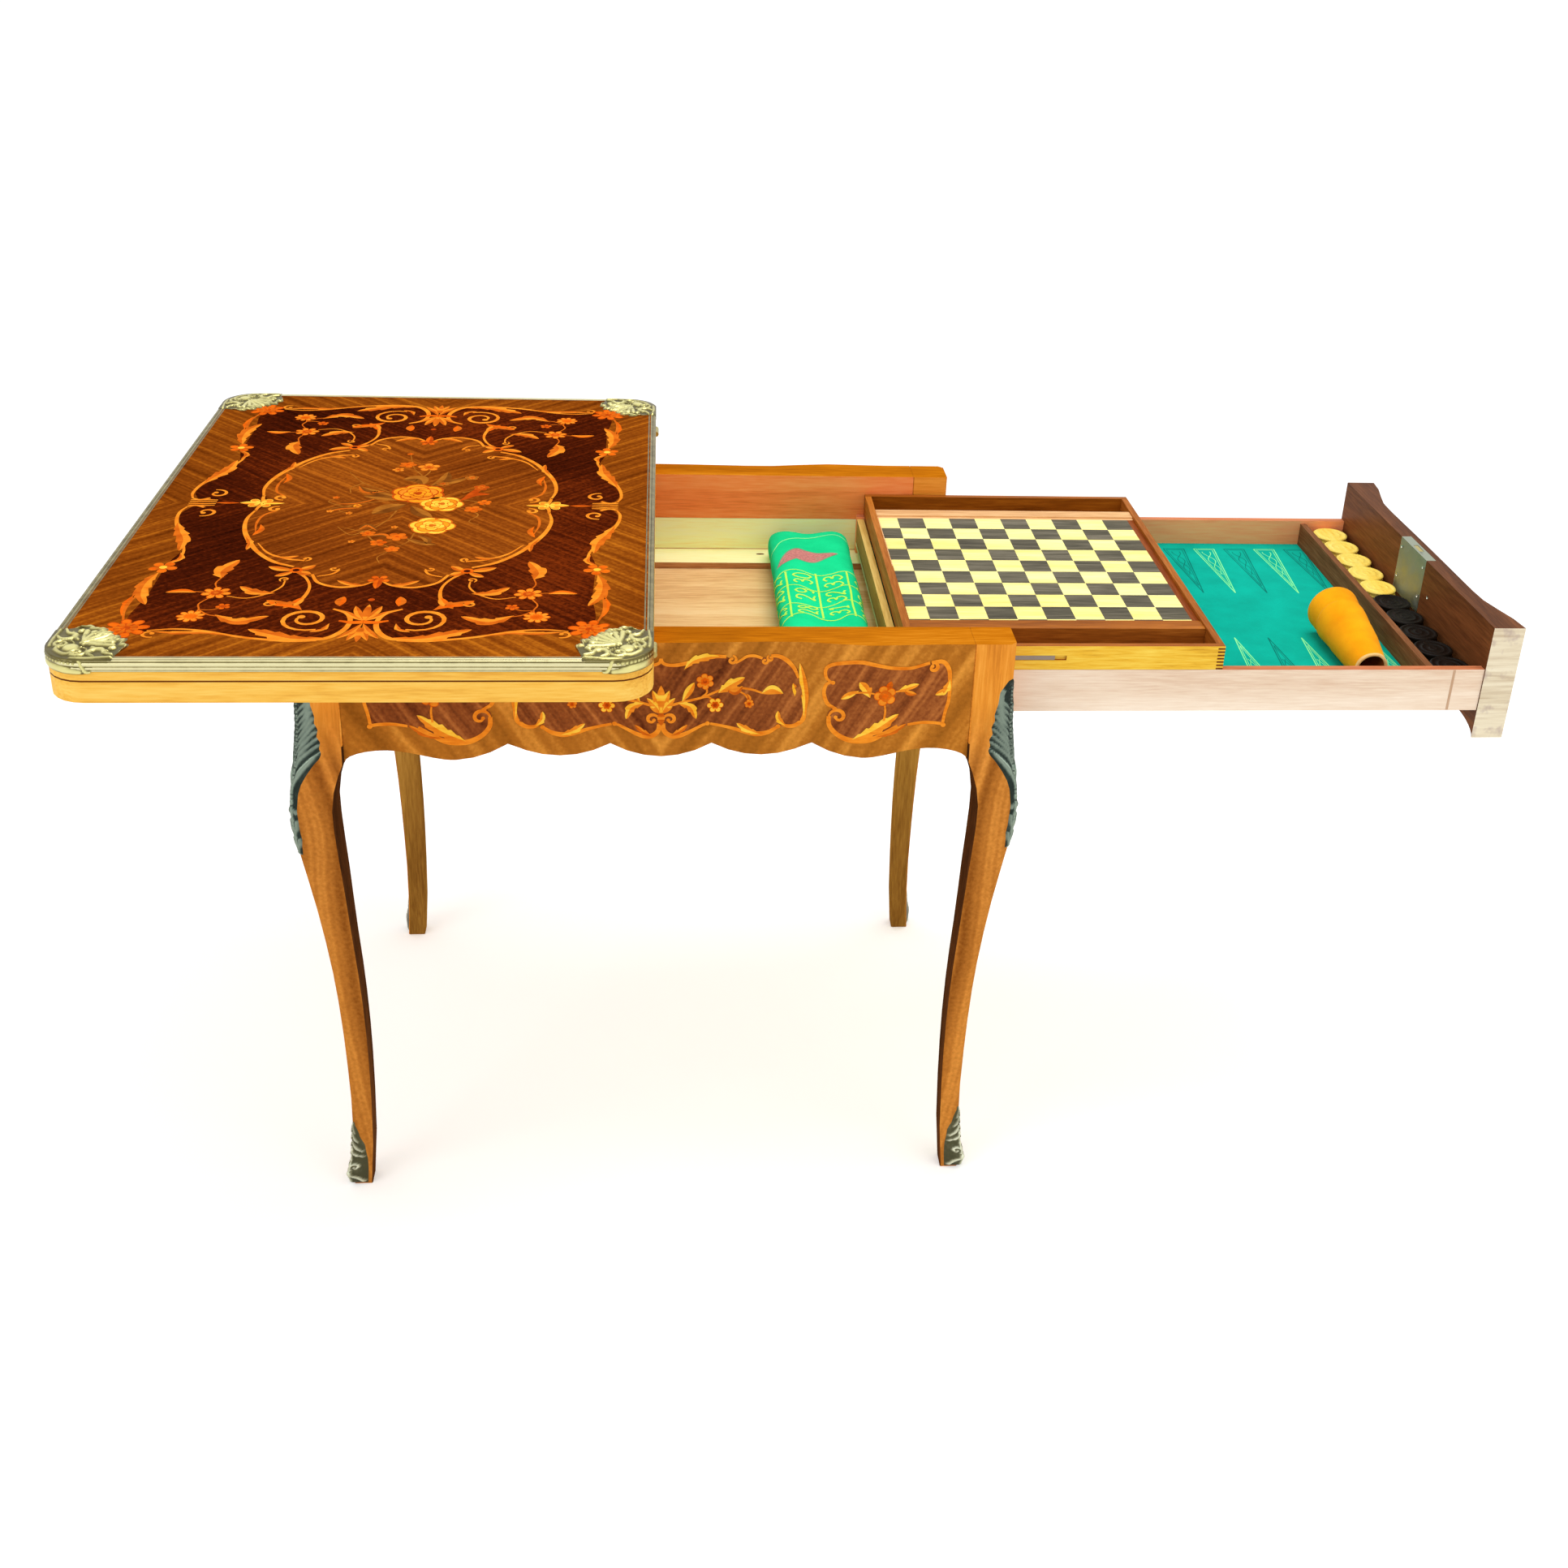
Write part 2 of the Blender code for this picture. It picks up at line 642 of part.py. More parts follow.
def add_runner(name, side):
    """The strip that the drawer's side runs on, in one with the guide board beside it."""
    inner, outer = WELL_Y - RUNNER_WIDTH, WELL_Y + GUIDE_THICK
    low, seat, high = FLOOR_Z - FLOOR_THICK, FLOOR_Z + GAP, FLOOR_Z + GUIDE_HEIGHT
    section = (
        (inner, seat), (WELL_Y, seat), (WELL_Y, low), (outer, low),
        (outer, high), (WELL_Y, high), (WELL_Y, RUNNER_TOP), (inner, RUNNER_TOP),
    )
    half = WELL_X - GAP
    strip = outline_mesh([(side * y, z) for y, z in section], -half, half, SECTION_ALONG_X)
    add(f"runner_{name}", strip, wood_pale, root)


def add_base():
    """Legs, friezes, well and cross rail."""
    for name, side_x, side_y in CORNERS:
        add_leg(name, side_x, side_y)
        add_leg_bronzes(name, side_x, side_y)
    for name, side in SIDES:
        add_long_frieze(name, side)
        add_runner(name, side)
    add_frieze(
        "frieze_left", WELL_Y - GAP, HOLLOW_SHARES, END_HOLLOW, POST, END_LOBE_WIDTH, FRIEZE_TOP,
        wood_frieze, root, Matrix.Translation((-BASE_X, 0, 0)) @ Matrix.Rotation(-pi / 2, 4, "Z"),
    )
    inside_y = WELL_Y - GAP
    under = FLOOR_Z - FLOOR_THICK
    panel = box_mesh(((-WELL_X + GAP, -inside_y, under), (FLOOR_X1, inside_y, FLOOR_Z)))
    add("floor_panel", panel, wood_pale, root)
    bearer_low = (FLOOR_X1 - BEARER_WIDTH, -inside_y, under - GAP - BEARER_HEIGHT)
    bearer = box_mesh((bearer_low, (FLOOR_X1, inside_y, under - GAP)))
    add("bearer_rail", bearer, wood_pale, root)
    add_pivot_rail(inside_y)


def add_pivot_rail(inside_y):
    """The rail across the base that carries the swivel bolt."""
    half = PIVOT_RAIL_WIDTH / 2
    low, high = (PIVOT_X - half, -inside_y, PIVOT_RAIL_Z), (PIVOT_X + half, inside_y, FRIEZE_TOP)
    rail = add("pivot_rail", box_mesh((low, high)), wood_dark, root)
    start = (PIVOT_X, PIVOT_Y, PIVOT_RAIL_Z - OVERRUN)
    through = FRIEZE_TOP - PIVOT_RAIL_Z + 2 * OVERRUN
    cut(rail, disc_mesh(start, PIVOT_RADIUS + BORE_GAP, through, sides=FINE_SIDES), "bore")
    seat = OVERRUN + PIVOT_NUT_LIFT + PIVOT_NUT_THICK + GAP
    cut(rail, disc_mesh(start, PIVOT_NUT_RADIUS + 2 * GAP, seat, sides=FINE_SIDES), "nut_seat")


def leaf_outline(inset):
    """The plan of a leaf, drawn in on every side."""
    radius = TOP_CORNER_RADIUS - inset
    return round_rect(TOP_X0 + inset, -TOP_Y1 + inset, TOP_X1 - inset, TOP_Y1 - inset, radius)


def leaf_ring(inset, height):
    """A leaf's outline at a height."""
    return [(x, y, height) for x, y in leaf_outline(inset)]


def baize_outline(inset):
    """The plan of the playing cloth let into a leaf, drawn in on every side."""
    radius = BAIZE_CORNER_RADIUS - inset
    inset += BAIZE_BORDER
    return round_rect(TOP_X0 + inset, -TOP_Y1 + inset, TOP_X1 - inset, TOP_Y1 - inset, radius)


def add_moulding():
    """The fluted brass edge of the upper leaf, let in flush all round."""
    low = TABLE_HEIGHT - MOULDING_HEIGHT
    ease = MOULDING_ROUND * MOULDING_EASE_SHARE
    profile = (
        (0, low), (0, TABLE_HEIGHT - MOULDING_ROUND), (ease, TABLE_HEIGHT - ease),
        (MOULDING_ROUND, TABLE_HEIGHT), (MOULDING_WIDTH, TABLE_HEIGHT), (MOULDING_WIDTH, low),
    )
    rings = [leaf_ring(inset, height) for inset, height in profile]
    smooth(add("edge_moulding", loft_mesh(rings, closed=True), brass, leaf_hinge))


def corner_plan(side_x, side_y):
    """The plan of a corner mount: the leaf's corner let out a little, closed by an arc across the top."""
    proud, radius, reach = CORNER_MOUNT_PROUD, TOP_CORNER_RADIUS, CORNER_MOUNT_REACH
    quarter = [pi / 2 * step / ARC_STEPS for step in range(ARC_STEPS + 1)]
    grown = radius + proud
    outer = [(radius - grown * sin(angle), radius - grown * cos(angle)) for angle in quarter]
    inner = [(reach * sin(angle), reach * cos(angle)) for angle in quarter]
    corner_x = TOP_X1 if side_x > 0 else TOP_X0
    points = [(reach, -proud), *outer, (-proud, reach), *inner]
    return [(corner_x - side_x * u, side_y * (TOP_Y1 - v)) for u, v in points]


def add_corner_mount(name, side_x, side_y):
    """A cast brass corner: a shell on the top and a skirt down its edge, with none past the hinged edge."""
    low, high = TABLE_HEIGHT - CORNER_MOUNT_DROP, TABLE_HEIGHT + CORNER_MOUNT_RISE
    casting = outline_mesh(corner_plan(side_x, side_y), low, high)
    mount = add(f"corner_mount_{name}", casting, brass, leaf_hinge)
    cut(mount, outline_mesh(leaf_outline(-GAP), low - OVERRUN, TABLE_HEIGHT + GAP), "leaf")
    if side_x > 0:
        beyond = side_box(
            TOP_X1, TOP_X1 + 2 * OVERRUN,
            side_y * (TOP_Y1 + OVERRUN), side_y * (TOP_Y1 - CORNER_MOUNT_REACH - OVERRUN),
            low - OVERRUN, high + OVERRUN,
        )
        cut(mount, beyond, "hinge_side")


def knuckle_starts(middle):
    """Where a hinge's three knuckles begin along Y: those of the lower leaf, then that of the upper."""
    first = middle - 3 * HINGE_KNUCKLE / 2
    starts = [first + index * HINGE_KNUCKLE + GAP / 2 for index in range(3)]
    return (starts[0], starts[2]), (starts[1],)


def add_hinge_half(name, way, starts, parent):
    """Knuckles with straps down the leaf's edge, on the lower leaf or on the upper."""
    length = HINGE_KNUCKLE - GAP
    levels = [TOP_JOINT_Z + way * HINGE_RADIUS * HINGE_STRAP_START_SHARE, TOP_JOINT_Z + way * HINGE_STRAP]
    bars = [disc_mesh((HINGE_X, start, TOP_JOINT_Z), HINGE_RADIUS, length, "Y") for start in starts]
    x0, x1 = TOP_X1 - HINGE_STRAP_THICK, TOP_X1 - FOLD_GAP
    straps = [((x0, start, min(levels)), (x1, start + length, max(levels))) for start in starts]
    piece = add(name, joined(*bars), brass, parent)
    cut(piece, box_mesh(*straps), "straps", "UNION")
    return piece


def add_hinge(name, side):
    """One card hinge, with its pin fast in the lower leaf's knuckles."""
    middle = side * HINGE_PLACE
    lower_starts, upper_starts = knuckle_starts(middle)
    reach = 3 * HINGE_KNUCKLE
    start = (HINGE_X, middle - reach / 2, TOP_JOINT_Z)
    lower = add_hinge_half(f"hinge_lower_{name}", -1, lower_starts, top_pivot)
    cut(lower, disc_mesh(start, HINGE_PIN_RADIUS, reach, "Y", PIN_SIDES), "pin", "UNION")
    upper = add_hinge_half(f"hinge_upper_{name}", 1, upper_starts, leaf_hinge)
    cut(upper, disc_mesh(start, HINGE_PIN_RADIUS + BORE_GAP, reach, "Y", PIN_SIDES), "bore")


def cut_hinge_seats(leaf, way):
    """Notches for the barrels and shallow seats for the straps of one leaf, below the joint or above it."""
    room = HINGE_RADIUS + 2 * GAP
    reach = 3 * HINGE_KNUCKLE / 2 + GAP
    levels = sorted((TOP_JOINT_Z, TOP_JOINT_Z + way * (HINGE_STRAP + GAP)))
    barrels = []
    straps = []
    for _, side in SIDES:
        middle = side * HINGE_PLACE
        low = (HINGE_X - room, middle - reach, TOP_JOINT_Z - room)
        barrels.append((low, (HINGE_X + room, middle + reach, TOP_JOINT_Z + room)))
        for start in knuckle_starts(middle)[0 if way < 0 else 1]:
            low = (TOP_X1 - HINGE_STRAP_THICK - GAP, start - GAP, levels[0])
            straps.append((low, (TOP_X1 + OVERRUN, start + HINGE_KNUCKLE, levels[1])))
    cut(leaf, box_mesh(*barrels), "barrels")
    cut(leaf, box_mesh(*straps), "straps")


def add_upper_leaf():
    """The leaf that shows the marquetry, with its brass and its half of the playing cloth."""
    low = TOP_JOINT_Z + FOLD_GAP
    shelf = TABLE_HEIGHT - MOULDING_HEIGHT - GAP
    inset = MOULDING_WIDTH + GAP
    rings = [leaf_ring(0, low), leaf_ring(0, shelf), leaf_ring(inset, shelf), leaf_ring(inset, TABLE_HEIGHT)]
    leaf = add("upper_leaf", loft_mesh(rings), marquetry, leaf_hinge)
    cut(leaf, outline_mesh(baize_outline(-GAP), low - OVERRUN, low + BAIZE_THICK + GAP), "baize")
    cut_hinge_seats(leaf, 1)
    add("upper_baize", outline_mesh(baize_outline(0), low, low + BAIZE_THICK), felt, leaf_hinge)
    add_moulding()
    for name, side_x, side_y in CORNERS:
        add_corner_mount(name, side_x, side_y)


def add_lower_leaf():
    """The leaf that turns on the base, with the swivel and the lock's strike in its underside."""
    high = TOP_JOINT_Z - FOLD_GAP
    leaf = add("lower_leaf", outline_mesh(leaf_outline(0), TOP_UNDER_Z, high), wood_edge, top_pivot)
    cut(leaf, outline_mesh(baize_outline(-GAP), high - BAIZE_THICK - GAP, high + OVERRUN), "baize")
    cut_hinge_seats(leaf, -1)
    add("lower_baize", outline_mesh(baize_outline(0), high - BAIZE_THICK, high), felt, top_pivot)
    add_swivel(leaf)
    add_strike(leaf)


def plan_box(x, y, half_x, half_y, low, high):
    """A box about a place in plan."""
    return box_mesh(((x - half_x, y - half_y, low), (x + half_x, y + half_y, high)))


def add_swivel(leaf):
    """The swivel plate let into the lower leaf, and the bolt and nut that hold it to the cross rail."""
    half = SWIVEL_PLATE / 2
    seat = half + GAP
    plate_top = TOP_UNDER_Z + SWIVEL_PLATE_THICK
    below = TOP_UNDER_Z - OVERRUN
    plate_mesh = plan_box(PIVOT_X, PIVOT_Y, half, half, TOP_UNDER_Z, plate_top)
    plate = add("swivel_plate", plate_mesh, steel, top_pivot)
    cut(leaf, plan_box(PIVOT_X, PIVOT_Y, seat, seat, below, plate_top + GAP), "plate")
    hole = PIVOT_RADIUS + BORE_GAP
    through = SWIVEL_PLATE_THICK + 2 * OVERRUN
    cut(plate, disc_mesh((PIVOT_X, PIVOT_Y, below), hole, through, sides=FINE_SIDES), "bolt_hole")
    room = disc_mesh(
        (PIVOT_X, PIVOT_Y, plate_top - GAP), PIVOT_HEAD_RADIUS + GAP, PIVOT_HEAD_THICK + 3 * GAP,
        sides=FINE_SIDES,
    )
    cut(leaf, room, "bolt_head")
    head_z = SWIVEL_PLATE_THICK + GAP
    foot_z = PIVOT_RAIL_Z + GAP - TOP_UNDER_Z
    profile = (
        (0, head_z + PIVOT_HEAD_THICK), (PIVOT_HEAD_RADIUS, head_z + PIVOT_HEAD_THICK),
        (PIVOT_HEAD_RADIUS, head_z), (PIVOT_RADIUS, head_z), (PIVOT_RADIUS, foot_z), (0, foot_z),
    )
    place = (PIVOT_X, PIVOT_Y, TOP_UNDER_Z)
    smooth(turned("pivot_bolt", profile, steel, top_pivot, place, (0, 0, 1), FINE_SIDES))
    nut_z = PIVOT_RAIL_Z + PIVOT_NUT_LIFT
    nut_mesh = disc_mesh((PIVOT_X, PIVOT_Y, nut_z), PIVOT_NUT_RADIUS, PIVOT_NUT_THICK, sides=NUT_SIDES)
    nut = add("pivot_nut", nut_mesh, steel, top_pivot)
    start = (PIVOT_X, PIVOT_Y, nut_z - OVERRUN)
    cut(nut, disc_mesh(start, hole, PIVOT_NUT_THICK + 2 * OVERRUN, sides=FINE_SIDES), "thread")


def add_strike(leaf):
    """The brass strike plate, whose slot takes the lock's bolt when the table is shut.

    Its place at rest is the shut place of the bolt with the top's quarter turn undone.
    """
    x = PIVOT_X - PIVOT_Y
    y = PIVOT_Y + PIVOT_X - BOLT_X + DRAWER_TRAVEL
    top = TOP_UNDER_Z + STRIKE_THICK
    below = TOP_UNDER_Z - OVERRUN
    half_x, half_y = STRIKE_LENGTH / 2, STRIKE_WIDTH / 2
    plate_mesh = plan_box(x, y, half_x, half_y, TOP_UNDER_Z, top)
    plate = add("lock_strike", plate_mesh, brass, top_pivot)
    cut(leaf, plan_box(x, y, half_x + GAP, half_y + GAP, below, top + GAP), "strike")
    slot_x = BOLT_WIDTH / 2 + STRIKE_SLOT_GAP
    slot_y = BOLT_THICK / 2 + STRIKE_SLOT_GAP
    slot_z = TOP_UNDER_Z + BOLT_TRAVEL + STRIKE_SLOT_GAP
    cut(leaf, plan_box(x, y, slot_x, slot_y, below, slot_z), "bolt_room")
    cut(plate, plan_box(x, y, slot_x, slot_y, below, slot_z), "slot")


def add_drawer_box():
    """Sides, back, bottom, cloth and divider of the drawer."""
    x0, x1, half = DRAWER_BACK_X, DRAWER_INNER_X - GAP, DRAWER_HALF
    for name, side in SIDES:
        outer, inner = side * SLIDE_Y, side * (SLIDE_Y - DRAWER_SIDE_THICK)
        board = side_box(x0, x1, outer, inner, DRAWER_SIDE_Z, DRAWER_RIM_Z)
        add(f"drawer_side_{name}", board, wood_drawer, drawer_slide)
    bed = DRAWER_BED_Z
    back_x = x0 + DRAWER_BACK_THICK
    bottom = box_mesh(((x0, -half, DRAWER_BOTTOM_Z), (x1, half, bed - GAP)))
    back = box_mesh(((x0, -half, bed), (back_x, half, DRAWER_RIM_Z - DRAWER_BACK_DROP)))
    divider = box_mesh(((DIVIDER_X0, -half, bed), (DIVIDER_X1, half, DRAWER_RIM_Z - DIVIDER_DROP)))
    lining = box_mesh(((back_x + GAP, -half, bed), (DIVIDER_X0 - GAP, half, DRAWER_FELT_Z)))
    add("drawer_bottom", bottom, wood_pale, drawer_slide)
    add("drawer_back", back, wood_dark, drawer_slide)
    add("drawer_divider", divider, wood_dark, drawer_slide)
    add("drawer_felt", lining, felt, drawer_slide)


def add_drawer_front():
    """The bowed front of the drawer, which closes the right end of the frieze, with its lock let in."""
    front = add_frieze(
        "drawer_front", WELL_Y - FRONT_GAP, HOLLOW_SHARES, END_HOLLOW, DRAWER_FRONT_THICK,
        END_LOBE_WIDTH, DRAWER_FRONT_Z, wood_front, drawer_slide,
        Matrix.Translation((DRAWER_FACE_X, 0, 0)) @ Matrix.Rotation(pi / 2, 4, "Z"),
    )
    low, high = DRAWER_FRONT_Z - LOCK_HEIGHT, DRAWER_FRONT_Z
    half = LOCK_WIDTH / 2
    x0, x1 = DRAWER_INNER_X, DRAWER_INNER_X + LOCK_THICK
    recess_low = (x0 - OVERRUN, -half - GAP, low - GAP)
    cut(front, box_mesh((recess_low, (x1 + GAP, half + GAP, high + OVERRUN))), "lock")
    case = add("lock_case", box_mesh(((x0, -half, low), (x1, half, high))), steel, drawer_slide)
    thick, wide = BOLT_THICK / 2, BOLT_WIDTH / 2
    bolt_top = high - GAP
    bolt_low = bolt_top - BOLT_HEIGHT
    room = plan_box(BOLT_X, 0, thick + BORE_GAP, wide + BORE_GAP, bolt_low - GAP, high + OVERRUN)
    cut(case, room, "bolt_room")
    add("lock_bolt", plan_box(BOLT_X, 0, thick, wide, bolt_low, bolt_top), brass, bolt_slide)
    add_escutcheon(front, (low + high) / 2)


def add_escutcheon(front, z):
    """The keyhole plate on the drawer's outer face, with the keyhole through to the lock."""
    x0 = DRAWER_FACE_X + END_HOLLOW * HOLLOW_SHARES[0][1] + GAP
    tall, wide = ESCUTCHEON_HEIGHT / 2, ESCUTCHEON_WIDTH / 2
    points = []
    for step in range(2 * ROUND_SIDES):
        angle = pi * step / ROUND_SIDES
        ripple = 1 - ESCUTCHEON_WAVE_SHARE * (1 - cos(ESCUTCHEON_LOBES * angle)) / 2
        points.append((wide * ripple * cos(angle), tall * ripple * sin(angle)))
    facing = Matrix.Translation((0, 0, z)) @ SECTION_ALONG_X
    plate_mesh = outline_mesh(points, x0, x0 + ESCUTCHEON_THICK, facing)
    plate = add("escutcheon", plate_mesh, brass, drawer_slide)
    start = DRAWER_INNER_X + LOCK_THICK - OVERRUN / 2
    end = x0 + ESCUTCHEON_THICK + OVERRUN
    wide = KEYHOLE_SLOT_WIDTH / 2
    for target in (front, plate):
        cut(target, disc_mesh((start, 0, z), KEYHOLE_RADIUS, end - start, "X"), "keyhole")
        cut(target, box_mesh(((start + GAP, -wide, z - KEYHOLE_SLOT), (end - GAP, wide, z))), "key_slot")


def stack_row_outline(pitch, radius):
    """The outline of a row of stacks that touch, as (along, across) points from the first one's middle.

    The necks between the stacks stay where full discs meet, also in a groove.
    """
    neck = sqrt(CHECKER_RADIUS**2 - (pitch / 2) ** 2)
    half_sides = STACK_SIDES // 2
    last = STACKS_OF_A_COLOUR - 1
    half = [(-radius, 0)]
    for index in range(STACKS_OF_A_COLOUR):
        for step in range(1, half_sides):
            angle = pi * step / half_sides
            half.append((index * pitch - radius * cos(angle), radius * sin(angle)))
        if index < last:
            half.append(((index + 1 / 2) * pitch, neck))
    half.append((last * pitch + radius, 0))
    return half + [(along, -across) for along, across in reversed(half[1:-1])]


def add_checkers(name, side, look):
    """One colour's draughtsmen in their stacks, which stand side by side along the bay."""
    first_y = CHECKER_RADIUS + GAP / 2
    pitch = (DRAWER_HALF - GAP - first_y - CHECKER_RADIUS) / (STACKS_OF_A_COLOUR - 1)
    x = (DIVIDER_X1 + DRAWER_INNER_X) / 2
    levels = []
    for index in range(CHECKERS_IN_STACK):
        low = index * CHECKER_THICK
        if index:
            levels.append((CHECKER_GROOVE, low))
            levels.append((0, low + CHECKER_GROOVE / 2))
        else:
            levels.append((0, low))
        under_groove = CHECKER_GROOVE / 2 if index < CHECKERS_IN_STACK - 1 else 0
        levels.append((0, low + CHECKER_THICK - under_groove))
    rings = []
    for inset, height in levels:
        outline = stack_row_outline(pitch, CHECKER_RADIUS - inset)
        z = DRAWER_BED_Z + height
        rings.append([(x + across, side * (first_y + along), z) for along, across in outline])
    smooth(add(name, loft_mesh(rings), look, drawer_slide))


def add_cup():
    """The leather dice cup, lying on the drawer's cloth with its mouth towards the front."""
    base, mouth, length = CUP_BASE_RADIUS, CUP_MOUTH_RADIUS, CUP_LENGTH
    profile = (
        (0, CUP_BASE_THICK), (base - CUP_WALL, CUP_BASE_THICK), (mouth - CUP_WALL, length),
        (mouth, length), (base, 0), (0, 0),
    )
    slope = hypot(base - mouth, length)
    level, fall = length / slope, (base - mouth) / slope
    place = (DRAWER_INNER_X - CUP_FROM_FRONT, -CUP_ASIDE, DRAWER_FELT_Z + GAP + base * level)
    direction = (level * cos(CUP_TURN), level * sin(CUP_TURN), -fall)
    smooth(turned("dice_cup", profile, leather, drawer_slide, place, direction, CUP_SIDES))


def add_tray_side(name, side):
    """A side board of the tray, with its groove and the bar that lies in it."""
    x0, x1, y1 = TRAY_X0, TRAY_X1, SLIDE_Y
    high = TRAY_TOP_Z - TRAY_GROOVE_TOP
    low = high - TRAY_BAR_HEIGHT - 2 * GAP
    depth = y1 - TRAY_BAR_THICK - 2 * GAP
    groove_end = x0 + TRAY_BAR_LENGTH + TRAY_GROOVE_SPARE
    board_mesh = side_box(x0, x1, side * y1, side * (y1 - TRAY_WALL), TRAY_Z, TRAY_TOP_Z)
    board = add(f"tray_side_{name}", board_mesh, wood_tray, tray_slide)
    groove = side_box(x0 - OVERRUN, groove_end, side * (y1 + OVERRUN), side * depth, low, high)
    cut(board, groove, "groove")
    bar_end = x0 + TRAY_BAR_LENGTH
    bar = side_box(x0, bar_end, side * (y1 - GAP), side * (depth + GAP), low + GAP, high - GAP)
    add(f"tray_bar_{name}", bar, steel, tray_slide)


def add_tray():
    """The draughts tray: a jointed box with a raised board between two troughs."""
    x0, x1, z0, z1 = TRAY_X0, TRAY_X1, TRAY_Z, TRAY_TOP_Z
    for name, side in SIDES:
        add_tray_side(name, side)
    inner_y = SLIDE_Y - TRAY_WALL - GAP
    in_x0, in_x1 = x0 + TRAY_WALL + GAP, x1 - TRAY_WALL - GAP
    left = box_mesh(((x0, -inner_y, z0), (x0 + TRAY_WALL, inner_y, z1)))
    right = box_mesh(((x1 - TRAY_WALL, -inner_y, z0), (x1, inner_y, z1)))
    bed = z0 + TRAY_BOTTOM_THICK
    add("tray_end_left", left, wood_tray, tray_slide)
    add("tray_end_right", right, wood_tray, tray_slide)
    add("tray_bottom", box_mesh(((in_x0, -inner_y, z0), (in_x1, inner_y, bed))), wood_tray, tray_slide)
    outer, inner = inner_y - TRAY_TROUGH, inner_y - TRAY_TROUGH - TRAY_LIP
    foot, lip, top = bed + GAP, z1 - TRAY_LIP_DROP, z1 - TRAY_BOARD_DROP
    under = top - TRAY_BOARD_THICK
    half = [(inner, top), (inner, lip), (outer, lip), (outer, foot), (inner, foot), (inner, under)]
    section = half + [(-y, z) for y, z in reversed(half)]
    add("tray_board", outline_mesh(section, in_x0, in_x1, SECTION_ALONG_X), wood_board, tray_slide)


def add_cloth():
    """The gaming cloth, folded into a soft bundle that lies across the two runners."""
    low = RUNNER_TOP + GAP
    middle_x = DRAWER_BACK_X - CLOTH_FROM_DRAWER - CLOTH_WIDTH / 2
    rings = []
    for place, swell in CLOTH_LENGTH_SHARES:
        y = CLOTH_LENGTH * (place - 1 / 2)
        ring = [
            (middle_x + across * swell * CLOTH_WIDTH / 2, y, low + up * swell * CLOTH_HEIGHT)
            for across, up in CLOTH_SECTION_SHARES
        ]
        rings.append(ring)
    smooth(add("roulette_cloth", loft_mesh(rings), cloth, root))


clear_scene()
table = collection("games_table")
cutters = collection("cutters")

marquetry = material("marquetry", (0.30, 0.10, 0.04), 0.30)
wood_edge = material("leaf_edge", (0.55, 0.28, 0.08), 0.35)
wood_frieze = material("frieze_veneer", (0.36, 0.15, 0.05), 0.32)
wood_leg = material("leg_veneer", (0.42, 0.17, 0.05), 0.34)
wood_pale = material("pale_beech", (0.75, 0.55, 0.28), 0.60)
wood_dark = material("dark_mahogany", (0.20, 0.09, 0.05), 0.45)
wood_drawer = material("drawer_side", (0.66, 0.42, 0.28), 0.55)
wood_front = material("drawer_front", (0.22, 0.08, 0.04), 0.38)
wood_tray = material("tray_walnut", (0.48, 0.22, 0.07), 0.40)
wood_board = material("draughts_board", (0.80, 0.65, 0.35), 0.40)
boxwood = material("boxwood", (0.90, 0.62, 0.16), 0.40)
ebony = material("ebonised", (0.03, 0.02, 0.02), 0.35)
brass = material("aged_brass", (0.62, 0.52, 0.24), 0.35, 1.0)
bronze = material("patinated_bronze", (0.30, 0.30, 0.22), 0.42, 1.0)
steel = material("steel", (0.45, 0.46, 0.44), 0.40, 1.0)
felt = material("green_felt", (0.02, 0.35, 0.22), 0.90)
cloth = material("green_cloth", (0.04, 0.50, 0.22), 0.90)
leather = material("tan_leather", (0.80, 0.36, 0.06), 0.50)

box_middle = bpy.data.objects.new("table", None)
table.objects.link(box_middle)
box_middle.location = (-TABLE_MIDDLE_X, 0, 0)
root = bpy.data.objects.new("base_middle", None)
table.objects.link(root)
root.parent = box_middle
top_pivot = axis_empty("top_pivot", (PIVOT_X, PIVOT_Y, TOP_UNDER_Z), root)
leaf_hinge = axis_empty("leaf_hinge", (HINGE_X, 0, TOP_JOINT_Z), top_pivot)
drawer_slide = axis_empty("drawer_slide", (DRAWER_INNER_X, 0, DRAWER_SIDE_Z), root)
bolt_slide = axis_empty("bolt_slide", (BOLT_X, 0, DRAWER_FRONT_Z), drawer_slide)
tray_slide = axis_empty("tray_slide", (TRAY_X0, 0, TRAY_Z), drawer_slide)

add_base()
add_lower_leaf()
add_upper_leaf()
for hinge_name, hinge_side in SIDES:
    add_hinge(hinge_name, hinge_side)
add_drawer_box()
add_drawer_front()
add_checkers("checkers_light", 1, boxwood)
add_checkers("checkers_dark", -1, ebony)
add_cup()
add_tray()
add_cloth()
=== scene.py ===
"""Looks of the marquetry games table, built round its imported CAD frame.

Places are in metres in the frame's own axes. The plan of the base is laid out from
its middle, as the CAD is, and MIDDLE_X moves it into the frame.
"""

from math import atan2, cos, pi, sin, sqrt

import bmesh
import bpy
import numpy as np
from mathutils import Matrix, Vector
from mathutils.bvhtree import BVHTree


